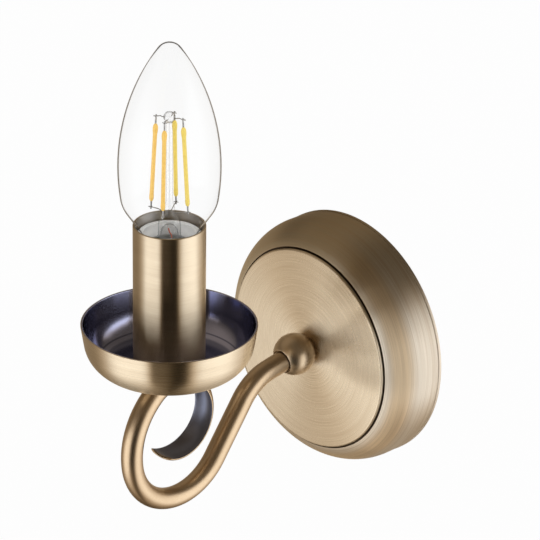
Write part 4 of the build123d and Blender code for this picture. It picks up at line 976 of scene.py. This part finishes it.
# Stage: a light tent that only glossy rays see, a white world and a floor. Its sizes are metres
TENT_CENTRE = (0.0, -0.06, 0.03)
TENT_RADIUS = 2.2
FLOOR_HEIGHT = -0.2
FLOOR_WHITE_SHARE = 0.86
# Brightness round the part, in degrees from +X as seen from above, as a share of the soft boxes
ROUND_LIGHT = ((-180, 0.18), (-160, 0.2), (-145, 0.33), (-134, 0.58), (-124, 0.85), (-115, 1.0), (-84, 1.0),
               (-76, 0.85), (-69, 0.35), (-64, 0.03), (-60, 0.0), (-24, 0.0), (-19, 0.06), (-10, 0.5),
               (0, 0.85), (9, 1.0), (40, 1.0), (52, 0.8), (72, 0.55), (92, 0.4), (110, 0.3), (150, 0.22),
               (180, 0.18))
BOX_LIGHT = 1.85
DIM_LIGHT = (1.0, 0.73, 0.43, 1)
WHITE = (1, 1, 1, 1)
OVERHEAD_LIGHT = 0.075
OVERHEAD_LEFT_LIGHT = 0.12
LIGHT_FROM_BELOW = 0.27
RIGHT_BOX_TURN = 45.0
RIGHT_BOX_RISE = 0.25
LEFT_BOX_DROP = 0.22


def stage_object(name, bm):
    """A new object in the scene from a bmesh."""
    mesh = bpy.data.meshes.new(name)
    bm.to_mesh(mesh)
    bm.free()
    obj = bpy.data.objects.new(name, mesh)
    bpy.context.scene.collection.objects.link(obj)
    return obj


def curve_over_turn(s, turn, points):
    """A smooth curve through (direction, brightness) points, by direction in degrees."""
    curve = s.node("ShaderNodeFloatCurve")
    s.link(s.ramp(turn, -180.0, 180.0, smooth=False), curve.inputs["Value"])
    line = curve.mapping.curves[0]
    placed = [((direction + 180) / 360, level) for direction, level in points]
    line.points[0].location = placed[0]
    line.points[-1].location = placed[-1]
    for across, level in placed[1:-1]:
        line.points.new(across, level)
    for point in line.points:
        point.handle_type = "AUTO_CLAMPED"
    curve.mapping.update()
    return curve.outputs[0]


def tent_glow():
    """The tent's light: two tall soft boxes, dark overhead and dimmer from below."""
    s = Shader("light_tent")
    s.tree.nodes.remove(s.bsdf)
    glow = s.node("ShaderNodeEmission")
    s.link(glow.outputs[0], s.surface)
    x, y, z = s.split(s.vector("NORMALIZE", s.place()))
    turn = s.product(s.math("ARCTAN2", y, x), 180 / math.pi)
    off_right_box = s.math("ABSOLUTE", s.math("ADD", turn, -RIGHT_BOX_TURN))
    left_drop = s.product(s.ramp(turn, -112.0, -126.0, 0.0, -LEFT_BOX_DROP), s.ramp(turn, -170.0, -145.0))
    lift = s.math("ADD", s.ramp(off_right_box, 45.0, 18.0, 0.0, RIGHT_BOX_RISE), left_drop)
    overhead = s.ramp(s.math("SUBTRACT", z, lift), 0.04, 0.34)
    overhead_left = s.product(s.ramp(x, 0.1, -0.55), s.ramp(z, 0.25, 0.6, 0.0, OVERHEAD_LEFT_LIGHT))
    level = s.mix_value(overhead, curve_over_turn(s, turn, ROUND_LIGHT),
                        s.math("ADD", overhead_left, OVERHEAD_LIGHT))
    below = s.product(s.ramp(z, -0.5, -0.72), s.ramp(turn, -28.0, -56.0, 0.04, LIGHT_FROM_BELOW))
    level = s.math("MAXIMUM", level, below)
    level = s.product(level, s.ramp(z, -1.0, -0.55, 0.3, 1.0))
    whiteness = s.math("MAXIMUM", s.ramp(level, 0.0, 0.85, smooth=False), s.product(overhead, 0.25))
    s.link(s.mix(whiteness, DIM_LIGHT, WHITE), glow.inputs["Color"])
    s.link(s.product(level, BOX_LIGHT), glow.inputs["Strength"])
    return s.mat


def pale_floor():
    """A floor that takes the part's shadow and shows white to the camera."""
    s = Shader("pale_floor", Base_Color=(0.9, 0.9, 0.9, 1), Roughness=0.9, Specular_IOR_Level=0.0)
    path = s.node("ShaderNodeLightPath").outputs
    seen = s.math("MAXIMUM", s.math("MAXIMUM", path["Is Camera Ray"], path["Is Glossy Ray"]),
                  path["Is Transmission Ray"])
    s.mix_shader(s.product(seen, FLOOR_WHITE_SHARE), s.bsdf, s.node("ShaderNodeEmission"))
    return s.mat


sphere = bmesh.new()
bmesh.ops.create_uvsphere(sphere, u_segments=48, v_segments=24, radius=TENT_RADIUS)
tent = stage_object("light_tent", sphere)
tent.location = TENT_CENTRE
tent.data.materials.append(tent_glow())
tent.visible_camera = False
tent.visible_transmission = False
tent.visible_diffuse = False
tent.visible_shadow = False

disc = bmesh.new()
bmesh.ops.create_circle(disc, cap_ends=True, segments=96, radius=TENT_RADIUS * 0.95)
floor = stage_object("floor", disc)
floor.location = (TENT_CENTRE[0], TENT_CENTRE[1], FLOOR_HEIGHT)
floor.data.materials.append(pale_floor())
floor.visible_glossy = False

world = bpy.data.worlds.new("white_world")
world.use_nodes = True
background = world.node_tree.nodes["Background"]
background.inputs["Color"].default_value = WHITE
background.inputs["Strength"].default_value = 1.0
bpy.context.scene.world = world

# Camera at the photograph's viewing angle, in metres and degrees, with its lens in millimetres
CAMERA_PLACE = (0.722795, -0.744193, 0.506792)
CAMERA_AZIMUTH, CAMERA_ELEVATION, CAMERA_ROLL = (math.radians(v) for v in (45.79, 24.97, 0.90))
CAMERA_LENS = 211.29
CAMERA_SENSOR = 36.0
CAMERA_FAR = 20.0
cos_a, sin_a = math.cos(CAMERA_AZIMUTH), math.sin(CAMERA_AZIMUTH)
cos_e, sin_e = math.cos(CAMERA_ELEVATION), math.sin(CAMERA_ELEVATION)
ahead = Vector((-sin_a * cos_e, cos_a * cos_e, -sin_e))
right = Vector((cos_a, sin_a, 0))
up = right.cross(ahead)
rolled_right = right * math.cos(CAMERA_ROLL) + up * math.sin(CAMERA_ROLL)
rolled_up = up * math.cos(CAMERA_ROLL) - right * math.sin(CAMERA_ROLL)
camera_data = bpy.data.cameras.new("camera")
camera_data.lens = CAMERA_LENS
camera_data.sensor_width = CAMERA_SENSOR
camera_data.clip_end = CAMERA_FAR
camera = bpy.data.objects.new("camera", camera_data)
camera.matrix_world = (Matrix.Translation(CAMERA_PLACE)
                       @ Matrix((rolled_right, rolled_up, -ahead)).transposed().to_4x4())
bpy.context.scene.collection.objects.link(camera)
bpy.context.scene.camera = camera
bpy.context.scene.view_settings.view_transform = "Standard"
